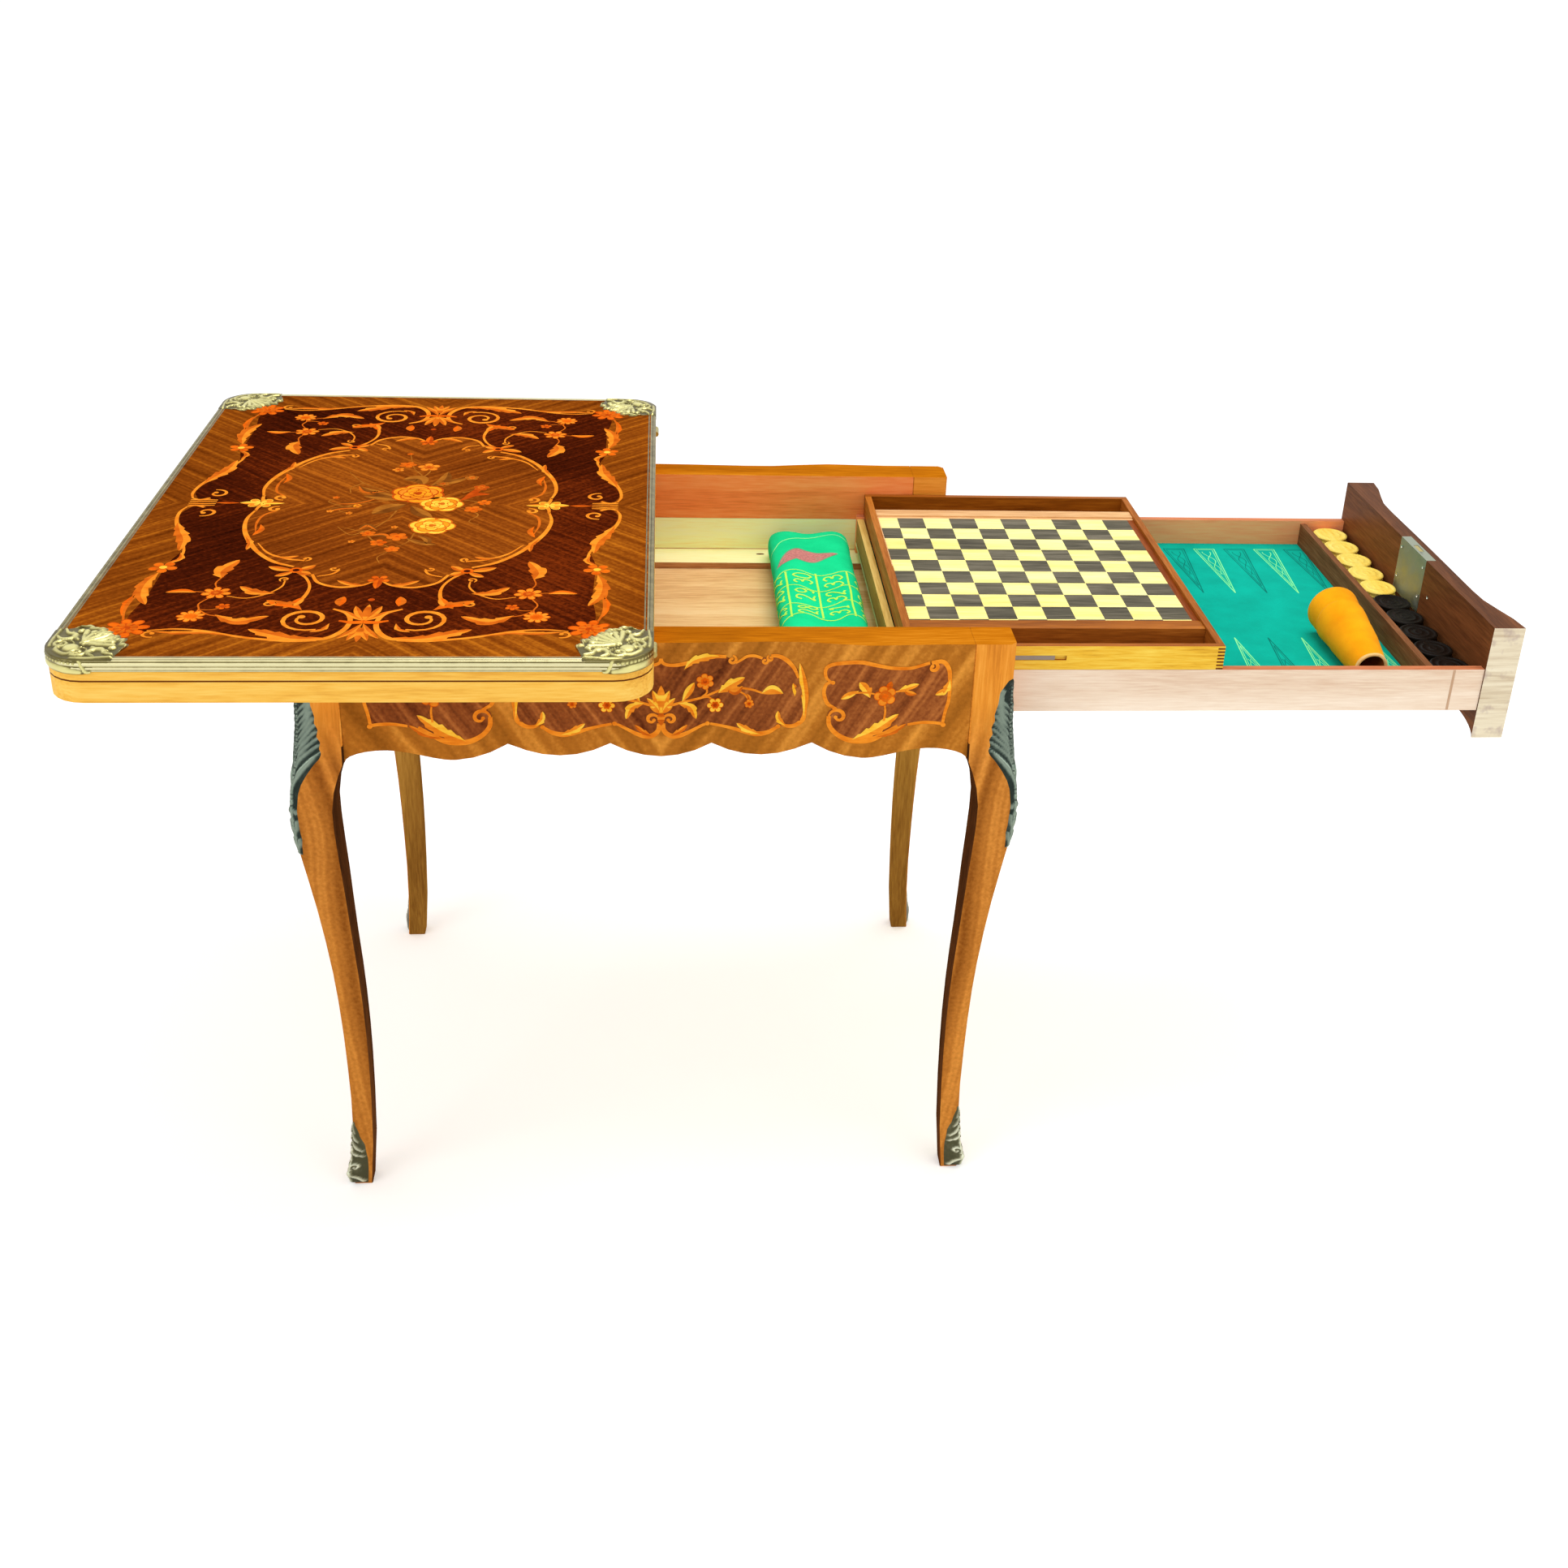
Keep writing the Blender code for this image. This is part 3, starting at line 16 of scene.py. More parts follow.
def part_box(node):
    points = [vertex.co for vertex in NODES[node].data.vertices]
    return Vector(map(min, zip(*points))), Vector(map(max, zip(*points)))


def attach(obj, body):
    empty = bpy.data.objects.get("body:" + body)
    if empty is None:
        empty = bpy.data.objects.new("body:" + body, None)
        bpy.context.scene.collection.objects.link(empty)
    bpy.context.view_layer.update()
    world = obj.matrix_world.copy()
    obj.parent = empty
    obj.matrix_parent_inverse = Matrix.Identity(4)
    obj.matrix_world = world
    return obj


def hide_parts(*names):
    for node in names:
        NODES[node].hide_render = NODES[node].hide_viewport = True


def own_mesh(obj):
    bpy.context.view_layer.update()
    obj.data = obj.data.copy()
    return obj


MIDDLE_X = -0.190325
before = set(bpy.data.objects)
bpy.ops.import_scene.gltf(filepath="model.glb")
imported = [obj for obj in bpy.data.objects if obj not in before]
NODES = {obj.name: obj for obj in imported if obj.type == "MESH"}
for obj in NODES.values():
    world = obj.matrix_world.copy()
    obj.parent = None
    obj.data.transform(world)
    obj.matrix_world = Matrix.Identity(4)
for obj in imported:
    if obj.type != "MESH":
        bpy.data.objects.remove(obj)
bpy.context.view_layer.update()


# Node materials


class Shader:
    """A Principled material and short ways to wire its nodes."""

    def __init__(self, name, roughness=0.5, metallic=0.0, **constants):
        self.material = bpy.data.materials.new(name)
        self.material.use_nodes = True
        self.tree = self.material.node_tree
        self.bsdf = self.tree.nodes["Principled BSDF"]
        self.put(self.bsdf, Roughness=roughness, Metallic=metallic)
        for label, value in constants.items():
            self.bsdf.inputs[label.replace("_", " ")].default_value = value

    def put(self, node, **inputs):
        """Sets or links a node's inputs by name."""
        for label, value in inputs.items():
            self.fill(node.inputs[label.replace("_", " ")], value)
        return node

    def fill(self, socket, value):
        """Links a socket to a node's output, or sets it to a plain value."""
        if isinstance(value, bpy.types.NodeSocket):
            self.tree.links.new(value, socket)
        elif isinstance(value, tuple) and len(value) == 3 and socket.type == "RGBA":
            socket.default_value = (*value, 1.0)
        else:
            socket.default_value = value

    def node(self, kind, *inputs, **settings):
        """A node whose inputs are filled in order."""
        made = self.tree.nodes.new("ShaderNode" + kind)
        for label, value in settings.items():
            setattr(made, label, value)
        for socket, value in zip(made.inputs, inputs):
            if value is not None:
                self.fill(socket, value)
        return made

    def math(self, operation, *inputs):
        """The outcome of one Math node."""
        return self.node("Math", *inputs, operation=operation).outputs[0]

    def weighed(self, first, share, second, other):
        """The sum of two values, each times its share."""
        return self.math("ADD", self.math("MULTIPLY", first, share), self.math("MULTIPLY", second, other))

    def place(self):
        """The point on the piece, in metres."""
        return self.node("TexCoord").outputs["Object"]

    def split(self, vector):
        """The three parts of a vector."""
        return self.node("SeparateXYZ", vector).outputs

    def joined(self, x, y, z):
        """A vector from its parts."""
        return self.node("CombineXYZ", x, y, z).outputs[0]

    def scaled(self, vector, *scale):
        """A vector times one factor per axis."""
        return self.node("VectorMath", vector, scale, operation="MULTIPLY").outputs[0]

    def noise(self, vector, scale=1.0, detail=3.0, roughness=0.5, distortion=0.0):
        """Cloudy noise from 0 to 1."""
        made = self.node("TexNoise")
        self.put(made, Vector=vector, Scale=scale, Detail=detail, Roughness=roughness, Distortion=distortion)
        return made.outputs[0]

    def ramp(self, value, *stops):
        """A colour ramp from (place, colour) stops."""
        made = self.node("ValToRGB", value)
        elements = made.color_ramp.elements
        while len(elements) < len(stops):
            elements.new(0.5)
        for element, (place, colour) in zip(elements, stops):
            element.position = place
            element.color = (*colour, 1.0)
        return made.outputs[0]

    def reach(self, value, low, high, to_low=0.0, to_high=1.0):
        """A value moved from one range to another, and held in it."""
        made = self.node("MapRange", value, low, high, to_low, to_high)
        return made.outputs[0]

    def mix(self, factor, first, second):
        """A colour between two, by a factor."""
        made = self.node("Mix", data_type="RGBA")
        for index, value in ((0, factor), (6, first), (7, second)):
            self.fill(made.inputs[index], value)
        return made.outputs[2]

    def bump(self, height, distance, strength=1.0):
        """Relief on the surface from a height, without shape."""
        made = self.node("Bump")
        self.put(made, Height=height, Distance=distance, Strength=strength)
        self.put(self.bsdf, Normal=made.outputs[0])

    def colour(self, value):
        """Sets the base colour."""
        self.put(self.bsdf, Base_Color=value)

    def facing(self):
        """The way the surface faces, on the piece's own axes."""
        return self.split(self.node("TexCoord").outputs["Normal"])

    def above(self, value, level):
        """1 where a value is over a level, else 0."""
        return self.math("GREATER_THAN", value, level)

    def below(self, value, level):
        """1 where a value is under a level, else 0."""
        return self.math("LESS_THAN", value, level)


def srgb(*levels):
    """A linear colour from display levels of 0 to 255."""
    shares = (level / 255 for level in levels)
    return tuple(s / 12.92 if s <= 0.04045 else ((s + 0.055) / 1.055) ** 2.4 for s in shares)


def shades(*colours):
    """Linear colours of one material, from its lightest to its darkest."""
    return tuple(srgb(*colour) for colour in colours)


GRAIN_AXES = {"X": (6, 90, 90), "Y": (90, 6, 90), "Z": (90, 90, 6)}
GLOSS = 0.03
INLAY_GLOSS = 0.0
POLISHED = 0.32
VENEERED = 0.36
CAST_ROUGHNESS = 0.34

# Stretch of the figure and of the fine lines along the grain, and how deep each finest relief is in metres

FIGURE_STRETCH = 0.16
LINE_STRETCH = 5.0
PORE_DEPTH = 0.00006
EDGE_DEPTH = 0.00005
RAW_DEPTH = 0.00004
FLECK_DEPTH = 0.00003
INLAY_DEPTH = 0.00002
METAL_DEPTH = 0.00004
NAP_DEPTH = 0.0003


def grain(look, tones, way="X", figure=1.0, fine=1.0):
    """Colour and fine lines of sawn wood, from its light, middle and dark tones."""
    light, middle, dark = tones
    place = look.place()
    stretch = GRAIN_AXES[way]
    broad = look.noise(look.scaled(place, *(s * FIGURE_STRETCH * figure for s in stretch)), 1.0, 4.0, 0.6,
                       0.8)
    lines = look.noise(look.scaled(place, *(s * LINE_STRETCH * fine for s in stretch)), 1.0, 3.0, 0.6)
    mixed = look.weighed(broad, 0.65, lines, 0.35)
    return look.ramp(mixed, (0.34, dark), (0.50, middle), (0.66, light)), lines


def wood(name, tones, way="X", roughness=0.4, gloss=GLOSS, figure=1.0):
    """Plain sawn wood: long figure, fine grain lines and pores, with a thin finish."""
    look = Shader(name, roughness, Specular_IOR_Level=gloss)
    colour, lines = grain(look, tones, way, figure)
    look.colour(colour)
    look.put(look.bsdf, Roughness=look.reach(lines, 0.3, 0.7, roughness + 0.10, roughness - 0.06))
    look.bump(lines, PORE_DEPTH)
    return look.material


def ribbons(look, tones, across, width, soft=0.34, spread=0.15):
    """Colour and flecks of quartered veneer, striped square to the direction given by across()."""
    light, middle, dark = tones
    place = look.place()
    along = across(look, place)
    waver = look.noise(place, 9.0, 2.0)
    shifted = look.math("ADD", along, look.math("MULTIPLY", waver, 0.012))
    ribbon = look.noise(look.joined(shifted, 0.0, 0.0), 1.0 / width, 2.0, 0.6)
    fleck = look.noise(look.scaled(place, 260, 260, 260), 1.0, 2.0, 0.5)
    cloud = look.noise(place, 5.0, 2.0)
    mixed = look.weighed(ribbon, 1.0 - soft, fleck, soft * 0.45)
    mixed = look.math("ADD", mixed, look.math("MULTIPLY", cloud, soft * 0.55))
    return look.ramp(mixed, (0.5 - spread, dark), (0.5, middle), (0.5 + spread, light)), fleck


def striped(name, tones, across, width, soft=0.42):
    """Quartered veneer under a thin polish."""
    look = Shader(name, POLISHED, Specular_IOR_Level=INLAY_GLOSS)
    colour, fleck = ribbons(look, tones, across, width, soft, 0.14)
    look.colour(colour)
    look.bump(fleck, FLECK_DEPTH)
    return look.material


def metal(name, bright, deep, roughness=POLISHED):
    """Worked metal that is darker in its hollows and clouded with age."""
    look = Shader(name, roughness, 1.0)
    place = look.place()
    cloud = look.noise(place, 40.0, 4.0, 0.6)
    wear_and_shading = look.reach(look.node("NewGeometry").outputs["Pointiness"], 0.44, 0.56)
    share = look.weighed(wear_and_shading, 0.5, cloud, 0.5)
    look.colour(look.ramp(share, (0.25, deep), (0.62, bright)))
    look.put(look.bsdf, Roughness=look.reach(cloud, 0.3, 0.7, roughness - 0.08, roughness + 0.16))
    look.bump(look.noise(place, 700.0, 2.0), METAL_DEPTH)
    return look.material


def cast(name, bright, middle, deep):
    """Chased metal, painted bright on what stands up as a painted highlight, and dark in its hollows as
    patina and painted shade.
    """
    look = Shader(name, CAST_ROUGHNESS, 1.0)
    cloud = look.noise(look.place(), 90.0, 4.0, 0.6)
    rise = look.node("Attribute", attribute_name="rise").outputs["Fac"]
    # Painted highlight and shade: the colour follows how far each point stands up, bright on crests and dark
    # in hollows.
    share = look.weighed(rise, 0.78, cloud, 0.34)
    look.colour(look.ramp(share, (0.16, deep), (0.46, middle), (0.84, bright)))
    look.bump(look.noise(look.place(), 700.0, 2.0), METAL_DEPTH)
    return look.material


def cloth_look(name, base, shade, scale=1.0):
    """Napped felt or leather: mottled colour, short fibres and a soft sheen."""
    look = Shader(name, 0.95, Sheen_Weight=0.03, Sheen_Roughness=0.6, Specular_IOR_Level=0.0)
    place = look.place()
    cloud = look.noise(place, 24.0 * scale, 4.0, 0.6)
    nap = look.noise(place, 1600.0, 2.0, 0.7)
    share = look.weighed(cloud, 0.6, nap, 0.4)
    look.colour(look.ramp(share, (0.35, shade), (0.62, base)))
    look.bump(nap, NAP_DEPTH, 0.7)
    return look.material


def dress(look, *names):
    """Gives a material to every slot of CAD nodes."""
    for name in names:
        mesh = NODES[name].data
        mesh.materials.clear()
        mesh.materials.append(look)


# Objects and meshes


def linked(name, data):
    """A new object, put in the scene."""
    made = bpy.data.objects.new(name, data)
    bpy.context.collection.objects.link(made)
    return made


def mesh_of(bm, name, *looks):
    """A mesh with its materials, from a bmesh that it frees."""
    mesh = bpy.data.meshes.new(name)
    bm.to_mesh(mesh)
    bm.free()
    for look in looks:
        mesh.materials.append(look)
    return mesh


# Camera, floor and light

CAMERA_PLACE = (0.0009 + MIDDLE_X, -1.9681, 1.5021)
CAMERA_YAW = 0.1144
CAMERA_PITCH = 0.4422
CAMERA_ROLL = -0.0496
PHOTO_SIDE = 1932
FOCAL_PIXELS = 2198.66
PRINCIPAL = (1043.68, 811.06)
SENSOR = 36.0
LAMPS = (
    ("overhead", (0.5, 0.1, 3.2), (0.1, 0.0, 0.6), 1.6, 34.0),
    ("window", (-3.0, -2.2, 2.4), (0.0, 0.0, 0.5), 2.0, 24.0),
    ("fill", (2.6, -2.8, 1.6), (0.2, 0.0, 0.5), 2.0, 14.0),
)
WHITE = (1.0, 1.0, 1.0)
ROOM_LIGHT = 0.80
FLOOR_REACH = 60.0
FLOOR_GREY = 0.93
FLOOR_GLOW = 0.30


def add_camera():
    """The camera that the photograph was taken from."""
    data = bpy.data.cameras.new("camera")
    data.sensor_width = SENSOR
    data.sensor_fit = "HORIZONTAL"
    data.lens = FOCAL_PIXELS * SENSOR / PHOTO_SIDE
    data.shift_x = 0.5 - PRINCIPAL[0] / PHOTO_SIDE
    data.shift_y = PRINCIPAL[1] / PHOTO_SIDE - 0.5
    data.clip_end = FLOOR_REACH
    level = cos(CAMERA_PITCH)
    forward = Vector((sin(CAMERA_YAW) * level, cos(CAMERA_YAW) * level, -sin(CAMERA_PITCH)))
    right = Vector((cos(CAMERA_YAW), -sin(CAMERA_YAW), 0.0))
    down = forward.cross(right)
    across = cos(CAMERA_ROLL) * right + sin(CAMERA_ROLL) * down
    below = cos(CAMERA_ROLL) * down - sin(CAMERA_ROLL) * right
    camera = linked("camera", data)
    axes = Matrix((across, -below, -forward)).transposed().to_4x4()
    camera.matrix_world = Matrix.Translation(CAMERA_PLACE) @ axes
    bpy.context.scene.camera = camera


def add_light(name, place, target, size, power):
    """A soft square lamp that looks at a point."""
    data = bpy.data.lights.new(name, "AREA")
    data.shape = "RECTANGLE"
    data.size = data.size_y = size
    data.energy = power
    lamp = linked(name, data)
    lamp.location = place
    lamp.rotation_euler = (Vector(target) - Vector(place)).to_track_quat("-Z", "Y").to_euler()


def add_floor():
    """A pale floor, which the camera sees a little brighter than the light on it."""
    bm = bmesh.new()
    bmesh.ops.create_grid(bm, x_segments=1, y_segments=1, size=FLOOR_REACH)
    look = Shader("floor", 0.9, Specular_IOR_Level=0.1)
    look.colour((FLOOR_GREY,) * 3)
    look.put(look.bsdf, Emission_Color=WHITE)
    seen = look.node("LightPath").outputs["Is Camera Ray"]
    look.put(look.bsdf, Emission_Strength=look.math("MULTIPLY", seen, FLOOR_GLOW))
    floor = linked("floor", mesh_of(bm, "floor", look.material))


def add_room():
    """A white room of even light, which is full white to the camera and in what is glossy."""
    world = bpy.data.worlds.new("room")
    bpy.context.scene.world = world
    world.use_nodes = True
    nodes, link = world.node_tree.nodes, world.node_tree.links.new
    path = nodes.new("ShaderNodeLightPath")
    shown = path.outputs["Is Camera Ray"]
    for kind in ("Transmission", "Glossy"):
        either = nodes.new("ShaderNodeMath")
        either.operation = "MAXIMUM"
        link(shown, either.inputs[0])
        link(path.outputs[f"Is {kind} Ray"], either.inputs[1])
        shown = either.outputs[0]
    level = nodes.new("ShaderNodeMapRange")
    link(shown, level.inputs["Value"])
    level.inputs["To Min"].default_value = ROOM_LIGHT
    level.inputs["To Max"].default_value = 1.0
    background = nodes["Background"]
    background.inputs[0].default_value = (*WHITE, 1.0)
    link(level.outputs[0], background.inputs[1])


bpy.context.scene.view_settings.view_transform = "Standard"
add_camera()
add_floor()
add_room()
for lamp in LAMPS:
    add_light(*lamp)

# Finishes of the CAD solids that stay in sight

TOP_LOW, TOP_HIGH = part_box("upper_leaf")
TOP_MIDDLE = ((TOP_LOW[0] + TOP_HIGH[0]) / 2, (TOP_LOW[1] + TOP_HIGH[1]) / 2)
LEAF_SEAM_Z = TOP_LOW[2]
SEAM_HALF = 0.0009
POST_FOOT = 0.598
RUNNER_TOP_Z = 0.6125
FRIEZE_STRIPE = 0.028
FRIEZE_LEAN = 0.62
LEG_STRIPE = 0.016
LEG_LEAN = 0.10


def away(look, x, y):
    """How far a place lies from the middle of the table, along it and across it together."""
    side = look.math("ABSOLUTE", look.math("SUBTRACT", x, MIDDLE_X))
    return look.math("ADD", side, look.math("ABSOLUTE", y))


def slanted(look, place):
    """Slanting lines that are mirrored about the middle of the frieze."""
    x, y, z = look.split(place)
    run = look.math("SUBTRACT", away(look, x, y), look.math("MULTIPLY", z, FRIEZE_LEAN))
    return look.math("MULTIPLY", run, 0.85)


def leg_lines(look, place):
    """Lines that run up a leg with a slight lean."""
    x, y, z = look.split(place)
    run = look.math("MULTIPLY", away(look, x, y), 0.8)
    return look.math("SUBTRACT", run, look.math("MULTIPLY", z, LEG_LEAN))


CORNERS = ("front_left", "front_right", "back_left", "back_right")
HONEY_TONES = shades((224, 144, 36), (190, 110, 14), (148, 78, 8))
POST_TONES = shades((250, 172, 72), (232, 146, 50), (190, 108, 32))
EDGE_TONES = shades((255, 212, 108), (248, 190, 80), (218, 148, 52))
RED_TONES = shades((255, 166, 98), (246, 138, 72), (206, 98, 44))
INNER_LEG_TONES = shades((196, 148, 70), (168, 120, 50), (126, 82, 30))
SHADED_LEG_TONES = shades((110, 66, 34), (76, 44, 22), (44, 24, 12))
PALE_TONES = shades((255, 255, 210), (255, 254, 188), (252, 232, 146))
WELL_TONES = shades((250, 220, 164), (240, 200, 138), (206, 150, 92))
RAW_TONES = shades((250, 240, 214), (234, 220, 190), (200, 178, 146))
BROWN_TONES = shades((132, 80, 44), (100, 58, 30), (66, 36, 18))
DARK_TONES = shades((126, 68, 38), (96, 50, 28), (60, 30, 16))
TAN_TONES = shades((200, 160, 88), (166, 124, 58), (98, 66, 24))
# Painted light: lighter tones for the top of the drawer back, as if lit.
DRAWER_BACK_LIT_TOP_TONES = shades((250, 220, 136), (234, 196, 106), (196, 148, 64))
DIVIDER_TONES = shades((160, 108, 70), (126, 80, 48), (84, 50, 26))
FRIEZE_TONES = shades((232, 156, 62), (180, 110, 36), (132, 76, 20))
LEG_TONES = shades((240, 160, 70), (190, 118, 46), (136, 76, 24))
BOARD_TONES = shades((255, 248, 176), (252, 240, 148), (240, 216, 118))
# Painted light: pale tones for the far lip, as if lit.
FAR_LIP_LIT_TONES = shades((252, 214, 164), (232, 184, 128), (196, 140, 88))
TRAY_TONES = shades((255, 226, 100), (240, 188, 58), (168, 104, 24))
TRAY_EDGE_TONES = shades((196, 120, 44), (160, 90, 28), (112, 58, 16))
# Painted shade: dark tones for the inside of the tray's trough.
TROUGH_SHADE_TONES = shades((172, 100, 24), (138, 74, 14), (88, 42, 8))
SIDE_TONES = shades((252, 234, 212), (240, 216, 190), (222, 188, 158))
SIDE_INNER_TONES = shades((255, 184, 128), (255, 158, 106), (236, 126, 78))
SIDE_TOP_TONES = shades((220, 140, 96), (200, 120, 78), (164, 92, 56))
# Painted shade: brown tones for the runners' low upright faces.
RUNNER_EDGE_SHADE_TONES = shades((226, 166, 110), (206, 146, 94), (160, 104, 60))


def inwards(look):
    """One where a surface of the base faces the middle of the table."""
    x, y, _ = look.split(look.place())
    out_x, out_y, _ = look.facing()
    along = look.math("MULTIPLY", look.math("SUBTRACT", x, MIDDLE_X), out_x)
    return look.below(look.math("ADD", along, look.math("MULTIPLY", y, out_y)), -0.02)


def faces_up(look):
    """One where a surface faces up."""
    return look.above(look.facing()[2], 0.7)


def at_back(look):
    """One on the far half of the table."""
    return look.above(look.split(look.place())[1], 0.0)


def higher_than(level):
    """One above a level."""
    return lambda look: look.above(look.split(look.place())[2], level)


def carcase(name, tones, across, width, post=None):
    """Veneer outside, with a solid band on top and a plain lining inside, whose low part on the front legs is
    painted darker as painted shade.
    """
    look = Shader(name, VENEERED, Specular_IOR_Level=INLAY_GLOSS)
    colour, fleck = ribbons(look, tones, across, width)
    if post:
        rise = look.reach(look.split(look.place())[2], POST_FOOT - 0.02, POST_FOOT + 0.05)
        colour = look.mix(rise, colour, grain(look, post, "Z", 1.6)[0])
    # Painted shade: the low lining on the front half takes the shaded leg tones, and on the back half the
    # lighter inner tones.
    near, far = (grain(look, shade, "Z")[0] for shade in (SHADED_LEG_TONES, INNER_LEG_TONES))
    low = look.mix(at_back(look), near, far)
    lining = look.mix(higher_than(POST_FOOT)(look), low, grain(look, post or RED_TONES)[0])
    colour = look.mix(inwards(look), colour, lining)
    colour = look.mix(faces_up(look), colour, grain(look, HONEY_TONES)[0])
    look.colour(colour)
    look.bump(fleck, FLECK_DEPTH)
    return look.material


def zoned(name, roughness, base, *zones, way="X", figure=1.0):
    """Sawn wood whose tones change with where a surface lies and which way it faces."""
    look = Shader(name, roughness, Specular_IOR_Level=GLOSS)
    colour, lines = grain(look, base, way, figure)
    for where, tones in zones:
        colour = look.mix(where(look), colour, grain(look, tones, way, figure)[0])
    look.colour(colour)
    look.bump(lines, PORE_DEPTH)
    return look.material


def leaf_edge():
    """Solid lipping that runs round both leaves, with a dark line where they meet."""
    look = Shader("leaf_edge", VENEERED, Specular_IOR_Level=GLOSS)
    _, out_y, _ = look.facing()
    _, _, z = look.split(look.place())
    run, lines = grain(look, EDGE_TONES, "Y", 1.5)
    across, _ = grain(look, EDGE_TONES, "X", 1.5)
    colour = look.mix(look.above(look.math("ABSOLUTE", out_y), 0.6), run, across)
    apart = look.math("ABSOLUTE", look.math("SUBTRACT", z, LEAF_SEAM_Z))
    look.colour(look.mix(look.below(apart, SEAM_HALF), colour, srgb(120, 66, 22)))
    look.bump(lines, EDGE_DEPTH)
    return look.material


def front_board():
    """The drawer's front: veneer outside, raw end grain at its ends and a dark inner face."""
    look = Shader("front_veneer", VENEERED, Specular_IOR_Level=GLOSS)
    colour, fleck = ribbons(look, FRIEZE_TONES, slanted, FRIEZE_STRIPE)
    out_x, out_y, _ = look.facing()
    colour = look.mix(look.above(out_x, 0.3), grain(look, BROWN_TONES, "Y")[0], colour)
    raw, _ = grain(look, RAW_TONES, "X", 2.0, 0.6)
    stain = look.reach(look.noise(look.place(), 42.0, 3.0, 0.6), 0.54, 0.72, 0.0, 0.75)
    raw = look.mix(stain, raw, srgb(176, 152, 146))
    colour = look.mix(look.above(look.math("ABSOLUTE", out_y), 0.9), colour, raw)
    look.colour(colour)
    look.bump(fleck, RAW_DEPTH)
    return look.material


EDGE = leaf_edge()
FRIEZE = carcase("frieze_veneer", FRIEZE_TONES, slanted, FRIEZE_STRIPE)
LEG = carcase("leg_veneer", LEG_TONES, leg_lines, LEG_STRIPE, POST_TONES)
PALE = zoned("pale_beech", 0.6, PALE_TONES)
# Painted shade: the runners' low upright faces are painted brown, while their tops and the upright guide
# above them stay pale.
RUNNER = zoned(
    "runner_beech", 0.6, RUNNER_EDGE_SHADE_TONES, (higher_than(RUNNER_TOP_Z), PALE_TONES), (faces_up, PALE_TONES)
)
WELL = wood("well_floor", WELL_TONES, "X", 0.6)
# Painted light and shade: the drawer back's top face is painted lighter than its upright faces.
TAN = zoned("drawer_back_wood", 0.5, TAN_TONES, (faces_up, DRAWER_BACK_LIT_TOP_TONES), way="Y", figure=1.6)
DARK = wood("dark_mahogany", DARK_TONES, "Y", 0.45)
DIVIDER = wood("divider_wood", DIVIDER_TONES, "Y", 0.5)
SIDES_WOOD = zoned("drawer_wood", 0.55, SIDE_TONES, (inwards, SIDE_INNER_TONES), (faces_up, SIDE_TOP_TONES))
FRONT = front_board()
# Painted shade: the inner faces of the tray's walls take dark tones for the shade inside the trough.
TRAY = zoned(
    "tray_walnut", VENEERED, TRAY_TONES, (at_back, TRAY_EDGE_TONES), (inwards, TROUGH_SHADE_TONES),
    (faces_up, TRAY_EDGE_TONES), figure=1.4,
)
TRAY_ACROSS = wood("tray_walnut_across", TRAY_EDGE_TONES, "Y", VENEERED)
# Painted shade: the trough's floor is painted in dark tones for the shade inside it.
TROUGH_SHADE = wood("tray_trough", TROUGH_SHADE_TONES, "X", VENEERED)
# Painted light and shade: the far lip is painted pale as if lit, and the near lip darker as if in shade.
LIP = zoned("board_lip", 0.40, TRAY_EDGE_TONES, (at_back, FAR_LIP_LIT_TONES), figure=2.0)
BRASS = metal("aged_brass", srgb(190, 176, 108), srgb(104, 90, 42))
STEEL = metal("dull_steel", srgb(160, 166, 148), srgb(96, 100, 88), 0.46)
BAR_STEEL = metal("drawn_bar", srgb(150, 134, 120), srgb(92, 78, 66), 0.4)
BAIZE = cloth_look("green_baize", srgb(0, 184, 160), srgb(0, 164, 142))
CLOTH = cloth_look("green_cloth", srgb(20, 226, 148), srgb(8, 204, 132))
LEATHER = cloth_look("tan_leather", srgb(252, 172, 16), srgb(236, 144, 4))

dress(EDGE, "upper_leaf", "lower_leaf")
dress(FRIEZE, "frieze_front", "frieze_back", "frieze_left")
dress(LEG, *(f"leg_{corner}" for corner in CORNERS))
dress(PALE, "bearer_rail", "drawer_bottom")
dress(RUNNER, "runner_front", "runner_back")
dress(WELL, "floor_panel")
dress(TAN, "drawer_back")
dress(DARK, "pivot_rail")
dress(DIVIDER, "drawer_divider")
dress(SIDES_WOOD, "drawer_side_front", "drawer_side_back")
dress(FRONT, "drawer_front")
dress(TRAY, "tray_side_front", "tray_side_back")
dress(TROUGH_SHADE, "tray_bottom")
dress(TRAY_ACROSS, "tray_end_left", "tray_end_right")
dress(LIP, "tray_board")
dress(BRASS, "escutcheon", "lock_bolt", "lock_strike")
dress(BRASS, *(f"hinge_{leaf}_{end}" for leaf in ("lower", "upper") for end in ("front", "back")))
dress(STEEL, "swivel_plate", "pivot_bolt", "pivot_nut", "lock_case")
dress(BAR_STEEL, "tray_bar_front", "tray_bar_back")
dress(BAIZE, "lower_baize", "upper_baize", "drawer_felt")

# Drawing kit: flat shapes let into a surface, in millimetres of its own plan

MM = 0.001
LAYER = 0.00004
STEP_LIFT = 0.000002
CORNER_STEPS = 10
LEAF_SHAPE = 1.1204
LOBE_CUT = 0.38
ONCE = ((1, 1),)


